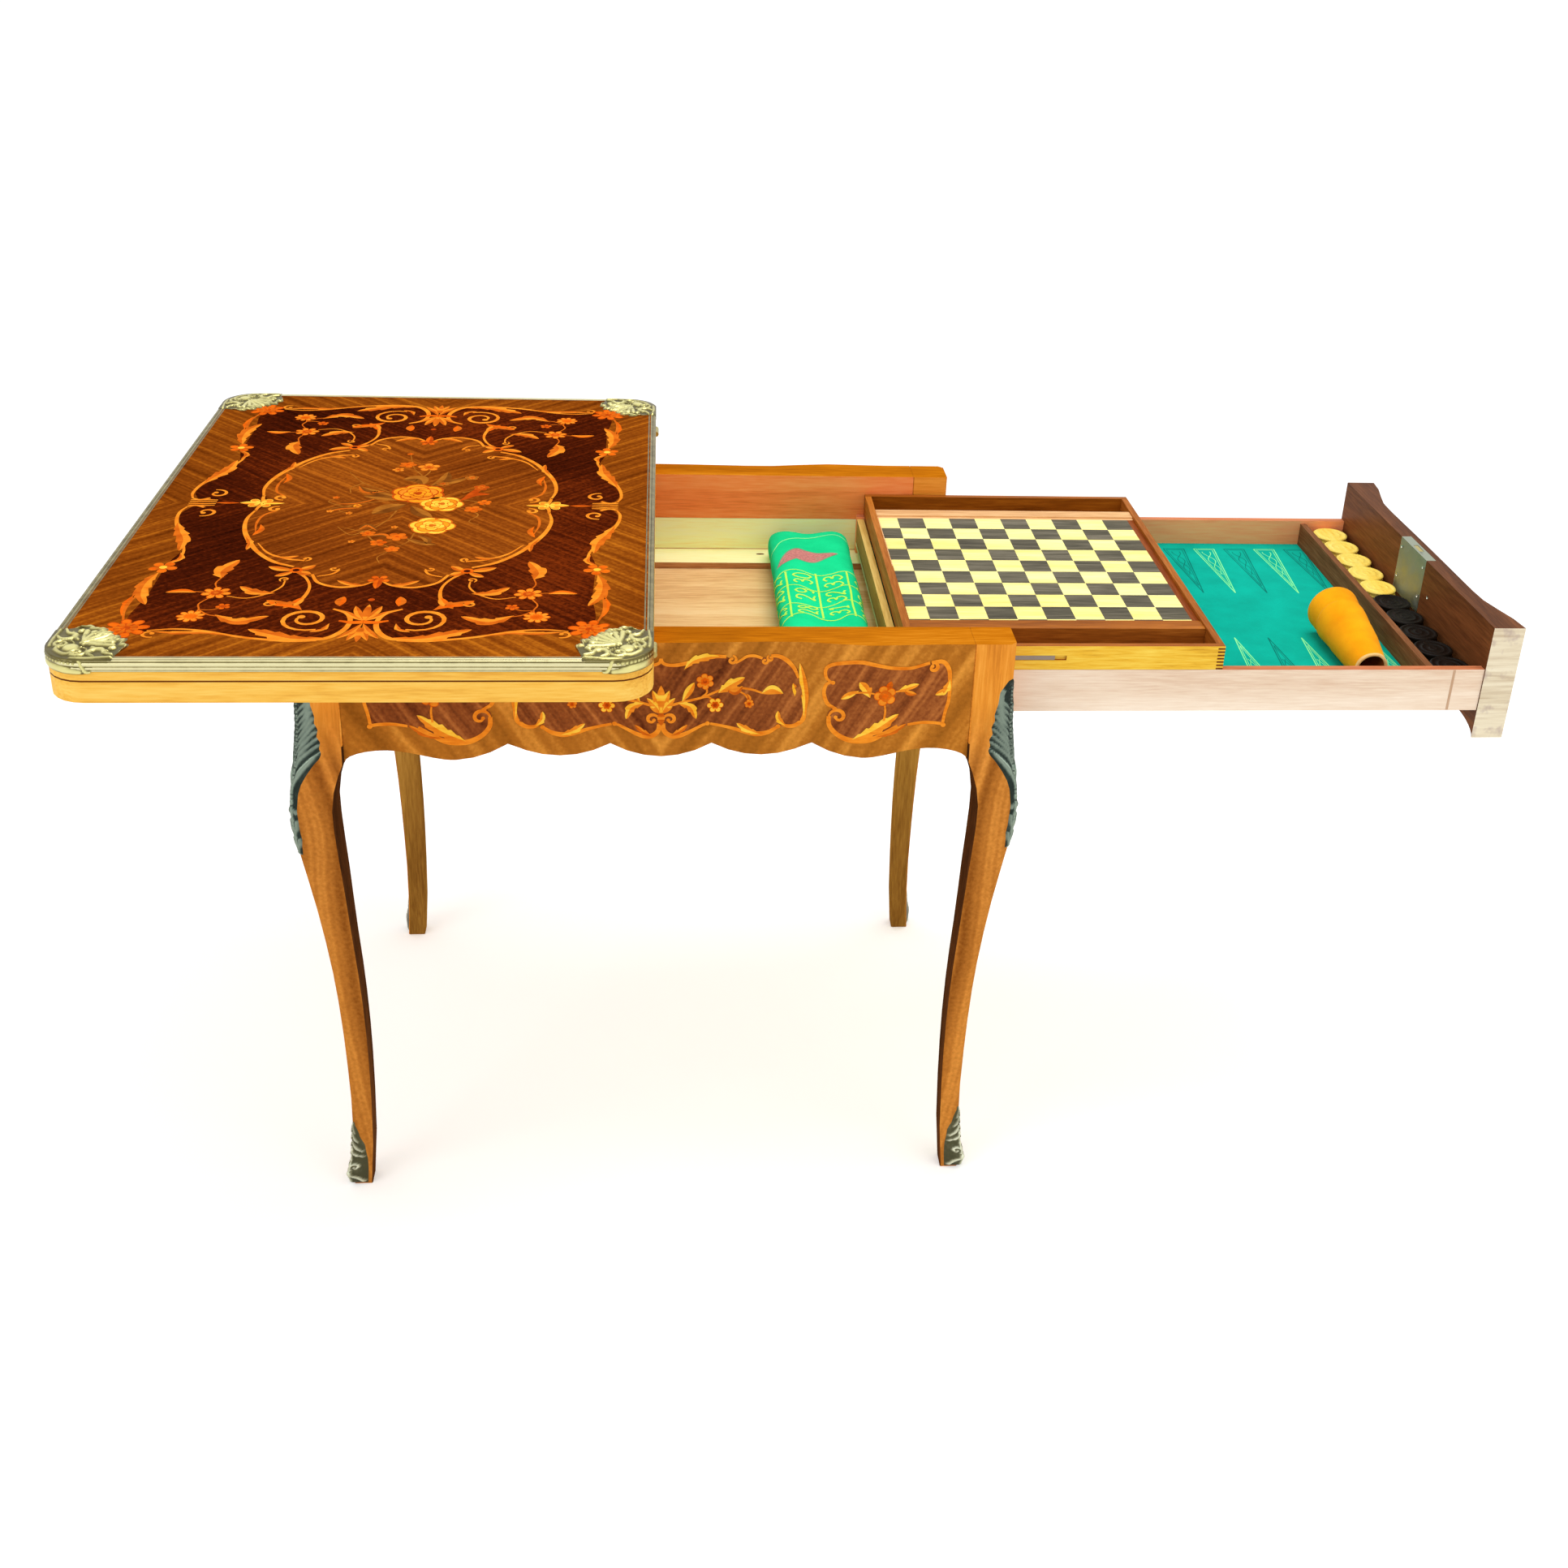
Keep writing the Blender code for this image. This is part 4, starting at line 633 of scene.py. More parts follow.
def smooth_path(points, per=7):
    """Points along a smooth curve through the given ones, with any extra values carried along."""
    pts = np.array(points, float)
    if len(pts) < 3:
        steps = np.linspace(0, 1, per + 1)[:, None]
        return pts[0] * (1 - steps) + pts[1] * steps
    ends = np.vstack((2 * pts[0] - pts[1], pts, 2 * pts[-1] - pts[-2]))
    out = []
    for i in range(1, len(ends) - 2):
        a, b, c, d = ends[i - 1 : i + 3]
        for t in np.arange(per) / per:
            curve = 2 * b + (c - a) * t + (2 * a - 5 * b + 4 * c - d) * t**2 + (3 * b - a - 3 * c + d) * t**3
            out.append(0.5 * curve)
    out.append(pts[-1])
    return np.array(out)


def widths_along(path, widths):
    """A width for each point of a path, from widths given at even steps along it."""
    return np.interp(np.linspace(0, 1, len(path)), np.linspace(0, 1, len(widths)), widths)


def normals_of(path):
    """Unit vectors to the left of a path."""
    run = np.gradient(path, axis=0)
    run /= np.maximum(np.linalg.norm(run, axis=1), 1e-9)[:, None]
    return np.stack((-run[:, 1], run[:, 0]), axis=1)


def spiral(centre, outer, inner, start, turns):
    """A path that winds in towards a centre. Turns above zero wind to the left."""
    share = np.linspace(0, 1, 26)
    angle = np.radians(start) + 2 * pi * turns * share
    radius = outer + (inner - outer) * share**0.8
    return np.stack((centre[0] + radius * np.cos(angle), centre[1] + radius * np.sin(angle)), axis=1)


def polar(centre, radius, angle, squash=1.0):
    """A point at an angle round a centre."""
    return (centre[0] + radius * cos(angle), centre[1] + radius * squash * sin(angle))


class Inlay:
    """Shapes of many woods that lie on one surface, made into one mesh."""

    def __init__(self, name, lay, body, slot, looks, copies=ONCE, breadth=1.0):
        self.name, self.lay, self.body, self.slot = name, lay, body, slot
        self.looks, self.copies, self.breadth = looks, copies, breadth
        self.faces, self.count = [], 0

    def face(self, points, look, layer=1, copies=None):
        """One flat shape, lifted by its layer and mirrored into each copy."""
        self.count += 1
        lift = (layer + 1) * LAYER + (self.count % 16 * STEP_LIFT if layer >= 1 else 0)
        for flip_u, flip_v in copies or self.copies:
            placed = [(flip_u * u, flip_v * v, lift) for u, v in points]
            self.faces.append((placed if flip_u * flip_v > 0 else placed[::-1], look))

    def strip(self, first, second, look, layer=1, copies=None):
        """Quads between two rows of points."""
        for i in range(len(first) - 1):
            self.face((first[i], second[i], second[i + 1], first[i + 1]), look, layer, copies)

    def stroke(self, points, widths, look="gold", layer=1, per=7):
        """A line of changing width."""
        path = points if isinstance(points, np.ndarray) else smooth_path(points, per)
        side = normals_of(path) * widths_along(path, widths)[:, None] / 2 * self.breadth
        self.strip(path + side, path - side, look, layer)

    def leaf(self, spine, width, lobes=0, looks=("gold", "amber"), layer=2, copies=None):
        """A leaf with a lit and a shaded half, and lobes that point to its tip."""
        path = smooth_path(spine, 10)
        share = np.linspace(0, 1, len(path))
        body = np.sin(pi * share**LEAF_SHAPE) ** 0.8
        if lobes:
            body = body * (1 - LOBE_CUT * (1 - (share * lobes) % 1.0))
        side = normals_of(path) * (body * width / 2)[:, None]
        self.strip(path + side, path, looks[0], layer, copies)
        self.strip(path, path - side, looks[1], layer, copies)

    def disc(self, centre, radius, look, layer=3, copies=None, sides=14, squash=1.0):
        """A flat round shape, squashed along the other axis."""
        ring = [polar(centre, radius, 2 * pi * i / sides, squash) for i in range(sides)]
        self.face(ring, look, layer, copies)

    def petals(self, centre, radius, count, look, inner, turn, layer, wide=1.0, shade=None, copies=None):
        """Rounded petals round a centre, each with a darker edge and root."""
        dark = shade or look
        for k in range(count):
            angle = turn + 2 * pi * k / count
            half = pi / count * wide
            for start, reach, tone, level in (
                (0.0, 1.07, dark, layer), (0.12, 1.0, look, layer + 1), (0.0, 0.55, dark, layer + 2),
            ):
                narrow = half * (1.12 if reach > 1 else 0.94)
                outline = [polar(centre, radius * start, angle)]
                for t in (-1, -0.85, -0.6, -0.3, 0, 0.3, 0.6, 0.85, 1):
                    out = radius * reach * (inner + (1 - inner) * sqrt(max(0, 1 - t * t)))
                    outline.append(polar(centre, out, angle + t * narrow))
                self.face(outline, tone, level + k % 2 * 0.5, copies)

    def rose(self, centre, radius, looks, turn):
        """A full rose of four rings of petals round a closed heart."""
        light, middle, deep = looks
        for size, count, look, inner, extra, layer, wide in (
            (1.0, 6, light, 0.6, 0.0, 3, 1.25), (0.76, 5, middle, 0.55, 0.5, 6, 1.2),
            (0.56, 5, light, 0.5, 1.1, 9, 1.15), (0.34, 3, light, 0.5, 0.2, 12, 1.1),
        ):
            self.petals(centre, radius * size, count, look, inner, turn + extra, layer, wide, deep)
        self.disc(centre, radius * 0.10, deep, 15)

    def filled(self, outline, look, layer=0, rings=1, copies=None, centre=None):
        """A field inside an outline that every line from its centre meets once."""
        rim = smooth_path(list(outline) + [outline[0]], 6)[:-1]
        middle = np.array(centre) if centre is not None else rim.mean(axis=0)
        for k in range(rings):
            inner, outer = (middle + (rim - middle) * (k + j) / rings for j in (0, 1))
            for i in range(len(rim)):
                after = (i + 1) % len(rim)
                corners = [outer[i], outer[after]]
                corners += [inner[after], inner[i]] if k else [middle]
                self.face(corners, look, layer, copies)

    def finish(self):
        """Lays the shapes on their surface as one piece."""
        names = sorted({look for _, look in self.faces})
        bm = bmesh.new()
        for points, look in self.faces:
            verts = [bm.verts.new(self.lay(u * MM, v * MM, lift)) for u, v, lift in points]
            bm.faces.new(verts).material_index = names.index(look)
        mesh = mesh_of(bm, self.name, *(self.looks[name] for name in names))
        return place_piece(self.name, mesh, self.body, self.slot)


def place_piece(name, mesh, body, slot, *replaced):
    """Puts a mesh on its body and hides the solids it stands for. The slot it is finished from is not used.
    """
    piece = linked(name, mesh)
    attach(piece, body)
    if replaced:
        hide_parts(*replaced)
    return piece


def round_rectangle(low, high, radius):
    """Places and outward directions round a rectangle with round corners."""
    path = []
    corners = ((high[0], high[1]), (low[0], high[1]), (low[0], low[1]), (high[0], low[1]))
    for corner, (x, y) in enumerate(corners):
        centre = (x - radius if x > low[0] else x + radius, y - radius if y > low[1] else y + radius)
        for i in range(CORNER_STEPS + 1):
            angle = (corner + i / CORNER_STEPS) * pi / 2
            path.append((polar(centre, radius, angle), (cos(angle), sin(angle))))
    return path


# Marquetry of the top

def inlay_wood(name, light, dark):
    """Thin sawn veneer with fine lines, shaded unevenly as if scorched in sand."""
    look = Shader(name, 0.3, Specular_IOR_Level=INLAY_GLOSS)
    place = look.place()
    lines = look.noise(look.scaled(place, 40, 900, 400), 1.0, 2.0, 0.5)
    share = look.weighed(lines, 0.45, look.noise(place, 70.0, 2.0), 0.55)
    look.colour(look.ramp(share, (0.34, srgb(*dark)), (0.60, srgb(*light))))
    look.bump(lines, INLAY_DEPTH)
    return look.material


def top_lines(look, place):
    """Distance that is level along lines that meet in points on the middle lines of the leaf."""
    x, y, _ = look.split(place)
    side = look.math("ABSOLUTE", look.math("SUBTRACT", x, TOP_MIDDLE[0]))
    end = look.math("ABSOLUTE", look.math("SUBTRACT", y, TOP_MIDDLE[1]))
    return look.math("SUBTRACT", side, end)


PLAIN_WOODS = {
    "gold": ("satinwood", (246, 150, 42), (222, 116, 24)),
    "amber": ("satinwood_shaded", (222, 112, 26), (184, 80, 16)),
    "yellow": ("boxwood_inlay", (255, 206, 72), (250, 176, 40)),
    "honey": ("boxwood_shaded", (246, 160, 34), (222, 122, 20)),
    "orange": ("padouk", (240, 112, 20), (206, 78, 8)),
    "rust": ("padouk_shaded", (206, 84, 18), (158, 52, 8)),
    "olive": ("stained_sycamore", (178, 108, 34), (138, 74, 20)),
    "moss": ("stained_shaded", (138, 78, 24), (100, 50, 14)),
    "dark": ("rosewood", (84, 26, 14), (50, 14, 8)),
}
BAND_TONES = shades((184, 104, 22), (134, 66, 12), (90, 37, 4))
FIELD_TONES = shades((120, 46, 10), (72, 22, 5), (36, 8, 3))
OVAL_TONES = shades((176, 94, 22), (128, 60, 12), (84, 32, 4))
PANEL_TONES = shades((190, 114, 56), (142, 76, 36), (86, 38, 18))
INLAY_WOODS = {key: inlay_wood(*row) for key, row in PLAIN_WOODS.items()}
INLAY_WOODS["band"] = striped("crossband_veneer", BAND_TONES, top_lines, 0.015)
INLAY_WOODS["field"] = striped("kingwood_field", FIELD_TONES, top_lines, 0.009, 0.6)
INLAY_WOODS["oval"] = striped("tulipwood_oval", OVAL_TONES, top_lines, 0.014)
INLAY_WOODS["panel"] = striped("kingwood_panel", PANEL_TONES, slanted, 0.012)
QUARTERS = ((1, 1), (-1, 1), (1, -1), (-1, -1))
HALVES = ((1, 1), (-1, 1))
ENDS = ((1, 1), (1, -1))
TOP_Z = TOP_HIGH[2]


def on_top(u, v, lift):
    """Lay of shapes on the folded top, from its middle."""
    return (TOP_MIDDLE[0] + u, TOP_MIDDLE[1] + v, TOP_Z + lift)


def quarter_outline(points):
    """An outline round all four quarters, from the points of one that run from the side to the end."""
    quarter = list(points)
    half = quarter + [(-u, v) for u, v in quarter[::-1] if u]
    return half + [(u, -v) for u, v in half[::-1] if v]


def volute(art, centre, radius, start, turns, width):
    """A scroll that winds to a round eye."""
    path = spiral(centre, radius, radius * 0.28, start, turns)
    art.stroke(path, (width * 0.5, width, width * 0.8, width * 0.5), "gold", 2)
    art.disc(tuple(path[-1]), width * 0.72, "gold", 2, sides=10)


def add_top_border(art):
    """The wavy scroll border round the dark field."""
    art.stroke(((241, 13), (245, 30), (243, 54), (236, 78), (226, 100)), (2, 3.4, 4, 5, 3))
    volute(art, (217, 30), 13, 70, 0.95, 4)
    art.stroke(((241, 14), (232, 9), (222, 15)), (2, 4.5, 4))
    art.leaf(((240, 62), (231, 90), (222, 114), (219, 146)), 19, 4)
    art.stroke(((222, 116), (214, 146), (214, 168), (221, 184)), (2, 3, 3, 2))
    art.leaf(((216, 150), (212, 168), (224, 182)), 8, 2)
    art.petals((224, 192), 14, 5, "orange", 0.3, 0.4, 3, 0.9, "amber")
    art.disc((224, 192), 4, "yellow", 6)
    art.leaf(((225, 204), (231, 232), (229, 262), (218, 288)), 19, 4)
    art.stroke(((229, 236), (234, 272), (234, 304), (228, 330)), (3, 4, 3, 2), "amber")
    art.leaf(((234, 262), (237, 288), (233, 316)), 9, 2, ("amber", "orange"))
    art.petals((222, 345), 21, 8, "orange", 0.45, 0.2, 3, 0.85, "rust")
    art.petals((222, 345), 12, 8, "amber", 0.4, 0.6, 6, 0.8, "orange")
    art.disc((222, 345), 4.5, "rust", 9)
    volute(art, (197, 357), 9, 120, -0.8, 3.4)
    art.stroke(((201, 350), (176, 346), (148, 350), (120, 361), (96, 368), (64, 373), (38, 371)),
               (2, 3, 3, 4, 4, 5, 5))
    art.leaf(((30, 366), (60, 368), (88, 356), (107, 346)), 20, 5)
    art.leaf(((118, 362), (146, 354), (172, 355), (196, 352)), 9, 4, ("amber", "gold"))
    art.stroke(((52, 373), (30, 367), (17, 350), (13, 328), (19, 308), (34, 297)), (2, 6, 6, 5, 5, 3))
    volute(art, (56, 322), 28, 118, -1.45, 5.5)
    art.leaf(((32, 332), (36, 346), (48, 352)), 7, 2)
    art.leaf(((64, 300), (76, 288), (90, 284), (103, 276)), 17, 2, ("orange", "amber"))
    art.leaf(((84, 296), (74, 284), (68, 268)), 12, 1, ("orange", "gold"))
    volute(art, (100, 284), 8, 200, -0.7, 3)
    art.stroke(((72, 284), (67, 262), (67, 240), (74, 219), (86, 202)), (5, 4, 3, 3, 4))


def add_top_middle_ornaments(art):
    """The clasps at the sides and the palmettes at the ends."""
    for offset in (3, 8.5):
        art.stroke(((212, offset), (227, offset + 0.6), (242, offset)), (2, 3.4, 2), "gold", 3)
    art.leaf(((213, 0), (200, 0), (186, 0)), 5, 0, ("orange", "rust"), copies=HALVES)
    art.petals((163, 0), 15, 4, "gold", 0.2, pi / 4, 3, 0.7, "yellow", HALVES)
    art.leaf(((160, 0), (174, 0), (186, 0)), 9, 0, ("yellow", "gold"), 5, HALVES)
    art.leaf(((166, 0), (152, 0), (136, 0)), 8, 0, ("yellow", "gold"), 5, HALVES)
    volute(art, (143, 19), 9, 250, 0.85, 4)
    art.stroke(((160, 4), (163, 14), (164, 26)), (6, 4, 3))
    art.petals((0, 222), 11, 5, "orange", 0.3, pi / 2, 3, 0.8, "rust", ENDS)
    art.leaf(((0, 218), (0, 230), (0, 246)), 9, 0, ("orange", "rust"), 5, ENDS)
    for tip_u, tip_v, width in ((0, 286, 8), (13, 290, 8), (22, 302, 8)):
        art.leaf(((0, 326), (tip_u * 0.6, (326 + tip_v) / 2), (tip_u, tip_v)), width, 0, ("gold", "amber"), 4)
    for tip_u, tip_v in ((0, 376), (10, 373), (20, 368)):
        art.leaf(((0, 332), (tip_u * 0.35, (332 + tip_v) / 2), (tip_u, tip_v)), 8, 0, ("gold", "amber"), 4)
    art.stroke(((0, 329), (12, 330), (24, 326)), (8, 6, 3), "orange", 6)
    art.leaf(((29, 290), (30, 279), (28, 266)), 11, 0, ("amber", "orange"))
    art.disc((0, 274), 3.5, "rust", 3, ENDS)


def add_top_oval(art):
    """The frame of the middle oval and its four knots."""
    art.stroke(((164, 22), (168, 50), (164, 82), (154, 112), (138, 146), (116, 174), (92, 188)),
               (2.5, 4, 5, 6, 5, 5, 3))
    art.stroke(((141, 24), (152, 38), (155, 62), (151, 90)), (2, 3, 3, 1), "amber")
    art.leaf(((150, 66), (146, 82), (152, 100)), 8, 1, ("amber", "orange"))
    art.leaf(((158, 104), (150, 122), (150, 142)), 9, 2)
    art.stroke(((142, 122), (126, 150), (104, 166), (84, 171)), (1, 3, 3.5, 3))
    volute(art, (83, 166), 6, 90, 0.8, 3)
    art.leaf(((118, 160), (104, 163), (92, 158)), 7, 1)
    for tip, width in (((118, 188), 13), ((71, 208), 13), ((107, 214), 10), ((70, 184), 11)):
        middle = ((tip[0] + 88) / 2, (tip[1] + 198) / 2 + 2)
        art.leaf(((88, 198), middle, tip), width, 1, ("gold", "amber"), 4)
    art.disc((88, 198), 7, "orange", 7)
    art.disc((88, 198), 3.6, "dark", 8)
    art.stroke(((70, 208), (60, 230), (38, 242), (16, 237), (4, 226)), (3, 4, 4, 4, 2))
    art.leaf(((12, 236), (26, 235), (42, 224)), 10, 2)
    art.stroke(((64, 214), (50, 207), (44, 196)), (1.5, 3, 2.5))
    volute(art, (50, 193), 6, 180, -0.8, 2.6)
    volute(art, (95, 222), 6, 60, -0.9, 2.6)


def add_top_sprays(art):
    """The flower sprays in the corners of the dark field."""
    art.petals((156, 258), 14, 7, "gold", 0.35, 0.3, 3, 0.9, "orange")
    art.disc((156, 258), 5.5, "rust", 6)
    art.disc((156, 258), 2.6, "amber", 7)
    art.stroke(((158, 246), (162, 232), (158, 214)), (1.4, 1.8, 1.4), "amber")
    art.leaf(((159, 220), (163, 200), (151, 170)), 21, 3)
    art.stroke(((144, 266), (124, 271), (106, 260), (95, 242), (94, 226)), (1.4, 1.8, 2.2, 2.2, 1.6), "gold")
    art.leaf(((98, 258), (118, 256), (136, 241)), 16, 3)
    art.stroke(((168, 256), (178, 255), (186, 256)), (1.6, 1.6, 1.6), "amber")
    art.leaf(((176, 257), (190, 253), (206, 257)), 9, 0, ("gold", "orange"))
    art.stroke(((160, 270), (167, 286), (164, 300), (168, 314)), (1.4, 1.8, 1.8, 1.4), "amber")
    art.petals((168, 316), 13, 9, "gold", 0.5, 0.0, 3, 0.9, "orange")
    art.stroke(((164, 300), (152, 312), (138, 316)), (1.4, 1.8, 1.6), "amber")
    art.leaf(((146, 312), (122, 328), (93, 315)), 18, 3)
    art.stroke(((163, 300), (152, 300), (143, 294)), (1.2, 1.6, 1.2), "amber")
    art.petals((142, 292), 7, 5, "orange", 0.4, 0.2, 3, 0.9, "rust")


def add_bouquet(art):
    """The bouquet of roses and field flowers in the middle."""
    for spine, width, looks in (
        (((-8, 20), (-32, 34), (-62, 58)), 12, "mo"), (((-6, 12), (-30, 22), (-52, 26)), 15, "om"),
        (((0, 0), (-18, -12), (-34, -32)), 24, "mo"), (((6, -4), (18, -26), (34, -42)), 17, "om"),
        (((20, 60), (34, 84), (36, 112)), 14, "om"), (((24, 62), (44, 78), (62, 94)), 13, "mo"),
        (((12, 66), (4, 86), (-14, 84)), 22, "mo"), (((58, 10), (74, 34), (92, 36)), 10, "rr"),
        (((62, 22), (74, 44), (78, 60)), 9, "rr"), (((-20, -84), (-34, -66), (-42, -80)), 8, "am"),
        (((-30, -100), (-14, -96), (-6, -104)), 9, "am"), (((12, -104), (30, -118), (48, -124)), 10, "mo"),
        (((24, -96), (36, -108), (38, -124)), 9, "mo"), (((-28, 44), (-50, 40), (-62, 60)), 9, "am"),
        (((-34, 20), (-56, 4), (-80, 0)), 7, "am"), (((-46, -12), (-70, -14), (-84, -24)), 8, "am"),
    ):
        tones = {"m": "moss", "o": "olive", "r": "rust", "a": "amber"}
        art.leaf(spine, width, 0, tuple(tones[c] for c in looks))
    for points in (
        ((4, 60), (8, 92), (-6, 124), (-16, 172)), ((8, 92), (14, 112), (12, 128)),
        ((-24, 40), (-58, 70), (-80, 108)), ((-58, 70), (-70, 54), (-68, 36)),
        ((-20, 14), (-60, -4), (-92, -20)), ((-60, -4), (-72, -20), (-62, -30)),
        ((-70, -8), (-88, 6), (-82, 18)),
        ((-8, -20), (-16, -54), (-34, -84), (-60, -74)),
        ((-34, -84), (-22, -112), (0, -136), (-10, -160), (-6, -176)),
        ((20, -90), (16, -116), (2, -136)), ((60, -8), (84, -30), (76, -52), (88, -64)),
        ((54, 18), (76, 12), (90, -4)), ((60, 40), (74, 52), (80, 62)), ((-34, -84), (-48, -96), (-66, -72)),
    ):
        art.stroke(points, (2.2, 1.6, 1.0), "olive", 1)
    for centre, radius, looks in (
        ((9, 36), 30, ("honey", "gold", "rust")), ((40, 2), 24, ("yellow", "honey", "amber")),
        ((37, -67), 25, ("yellow", "honey", "amber")),
    ):
        art.rose(centre, radius, looks, radius)
    for centre, radius, look in (
        ((11, 128), 13, "gold"), ((-15, 136), 10, "amber"), ((-24, 118), 7, "gold"), ((-17, 176), 4, "amber"),
        ((80, 58), 9, "rust"), ((88, 8), 8, "orange"), ((77, -14), 10, "amber"), ((66, 92), 8, "olive"),
        ((34, 70), 7, "olive"), ((3, -101), 11, "amber"), ((-15, -119), 9, "orange"), ((2, -137), 8, "amber"),
        ((-4, -72), 4, "gold"), ((-44, -116), 4, "gold"), ((-60, -30), 4, "gold"), ((-82, 20), 4, "amber"),
        ((-54, -6), 5, "honey"), ((-82, -24), 4, "gold"), ((-30, -92), 8, "amber"),
    ):
        art.petals(centre, radius, 5, look, 0.4, radius, 3, 0.95, "amber" if look != "amber" else "orange")
        art.disc(centre, radius * 0.2, "rust", 6)


FIELD_OUTLINE = quarter_outline((
    (232, 0), (243, 40), (226, 96), (216, 140), (222, 180), (222, 225), (222, 270), (226, 325), (205, 352),
    (150, 350), (96, 366), (45, 371), (14, 350), (0, 345),
))
OVAL_OUTLINE = quarter_outline((
    (156, 0), (168, 50), (154, 112), (116, 174), (88, 196), (66, 220), (38, 242), (12, 234), (0, 226),
))


BAND_INSET = 6.0
BAND_RADIUS = 32.0


def add_top_marquetry():
    """The crossband, field and oval with their scrollwork, and the bouquet in the middle."""
    border = Inlay("top_marquetry", on_top, "top_upper", "marquetry_wood", INLAY_WOODS, QUARTERS)
    reach = [(TOP_HIGH[i] - TOP_LOW[i]) / 2 / MM - BAND_INSET for i in (0, 1)]
    rim = round_rectangle((-reach[0], -reach[1]), reach, BAND_RADIUS)
    border.face([place for place, _ in rim], "band", -0.5, ONCE)
    border.filled(FIELD_OUTLINE, "field", 0, 1, ONCE)
    border.filled(OVAL_OUTLINE, "oval", 0.5, 1, ONCE)
    for draw in (add_top_border, add_top_middle_ornaments, add_top_oval, add_top_sprays):
        draw(border)
    border.finish()
    bouquet = Inlay("top_bouquet", on_top, "top_upper", "marquetry_wood", INLAY_WOODS)
    add_bouquet(bouquet)
    bouquet.finish()


add_top_marquetry()

# Cast relief: strokes and bosses that swell a surface


def stroke_height(points, path, widths, height):
    """How far a rounded stroke stands up at each point."""
    wide = widths_along(path, widths) / 2
    apart = np.linalg.norm(points[:, None, :] - path[None, :, :], axis=2)
    inside = np.sqrt(np.maximum(0, 1 - (apart / wide[None, :]) ** 2))
    return height * inside.max(axis=1)


def traced(path):
    """A path's points, smoothed unless they are its final ones."""
    return path if isinstance(path, np.ndarray) else smooth_path(path, 12)


def relief(points, strokes, bosses, base):
    """Height of the casting over its seat, in millimetres."""
    height = np.full(len(points), base)
    for path, widths, rise in strokes:
        height = np.maximum(height, base + stroke_height(points, traced(path), widths, rise))
    for centre, radii, rise in bosses:
        apart = np.hypot((points[:, 0] - centre[0]) / radii[0], (points[:, 1] - centre[1]) / radii[1])
        height = np.maximum(height, base + rise * np.sqrt(np.maximum(0, 1 - apart**2)))
    return height


def grid_mesh(name, rows, look, flip=False, rises=None):
    """A skin through rows of points, which may carry how far each stands up, from 0 to 1."""
    bm = bmesh.new()
    made = [[bm.verts.new(point) for point in row] for row in rows]
    for lower, upper in zip(made, made[1:]):
        for i in range(len(lower) - 1):
            corners = (lower[i], lower[i + 1], upper[i + 1], upper[i])
            bm.faces.new(corners[::-1] if flip else corners)
    mesh = mesh_of(bm, name, look)
    if rises is not None:
        levels = np.clip(np.ravel(rises), 0, 1)
        mesh.attributes.new("rise", "FLOAT", "POINT").data.foreach_set("value", levels)
    mesh.shade_smooth()
    return mesh


TOP_RADIUS = 38 * MM
FOLD_SIDE = TOP_HIGH[0] - 1.5 * MM
FOLD_LIMIT = TOP_HIGH[0] + 0.3 * MM
MOULDING_PROFILE = (
    (-8, 0.05), (-7.6, 0.14), (-6.6, 0.14), (-6.1, -0.5), (-5.6, -0.1), (-4.4, 0.15), (-3.2, 0.05),
    (-2.6, -0.7), (-2.0, -0.3), (-0.6, -0.1), (0.5, -0.4), (1.0, -1.0), (0.6, -1.7), (0.2, -2.2),
    (0.9, -2.8), (1.5, -3.8), (1.6, -5.0), (1.3, -6.1), (0.3, -6.8), (0.9, -7.4), (1.3, -8.4), (1.2, -9.6),
    (0.3, -10.3), (0.8, -10.8), (0.8, -11.7), (0.0, -12.0),
)
# Painted highlight and shade for each point of the profile: high on the crests, low in the flutes.
MOULDING_RISES = (
    0.3, 0.5, 0.5, 0.05, 0.5, 0.95, 0.9, 0.05, 0.6, 0.8, 0.6, 0.7, 0.4, 0.05, 0.7, 0.95, 1.0, 0.8, 0.1, 0.6,
    0.95, 0.8, 0.1, 0.7, 0.7, 0.3,
)
# Share of the painted highlight kept where the moulding runs along the ends, which darkens them as painted
# shade.
END_SHADE_SHARE = 0.25


def add_moulding():
    """The fluted moulding round the upper leaf, with painted shade that darkens it along its ends more than
    along its sides.
    """
    path = round_rectangle(TOP_LOW, (FOLD_SIDE, TOP_HIGH[1]), TOP_RADIUS)
    rows, wear_and_shading = [], []
    for (x, y), (out_x, out_y) in path + path[:1]:
        rows.append([(x + out * out_x * MM, y + out * out_y * MM, TOP_Z + up * MM) for out,
                     up in MOULDING_PROFILE])
        # Painted shade: the stretches that face the ends of the leaf keep only part of their brightness.
        end_shade = END_SHADE_SHARE if abs(out_x) > 0.5 else 1.0
        wear_and_shading.append([rise * end_shade for rise in MOULDING_RISES])
    mesh = grid_mesh("fluted_moulding", rows, MOULDING_BRASS, False, wear_and_shading)
    mesh.set_sharp_from_angle(angle=0.9)
    place_piece("fluted_moulding", mesh, "top_upper", "aged_brass", "edge_moulding")


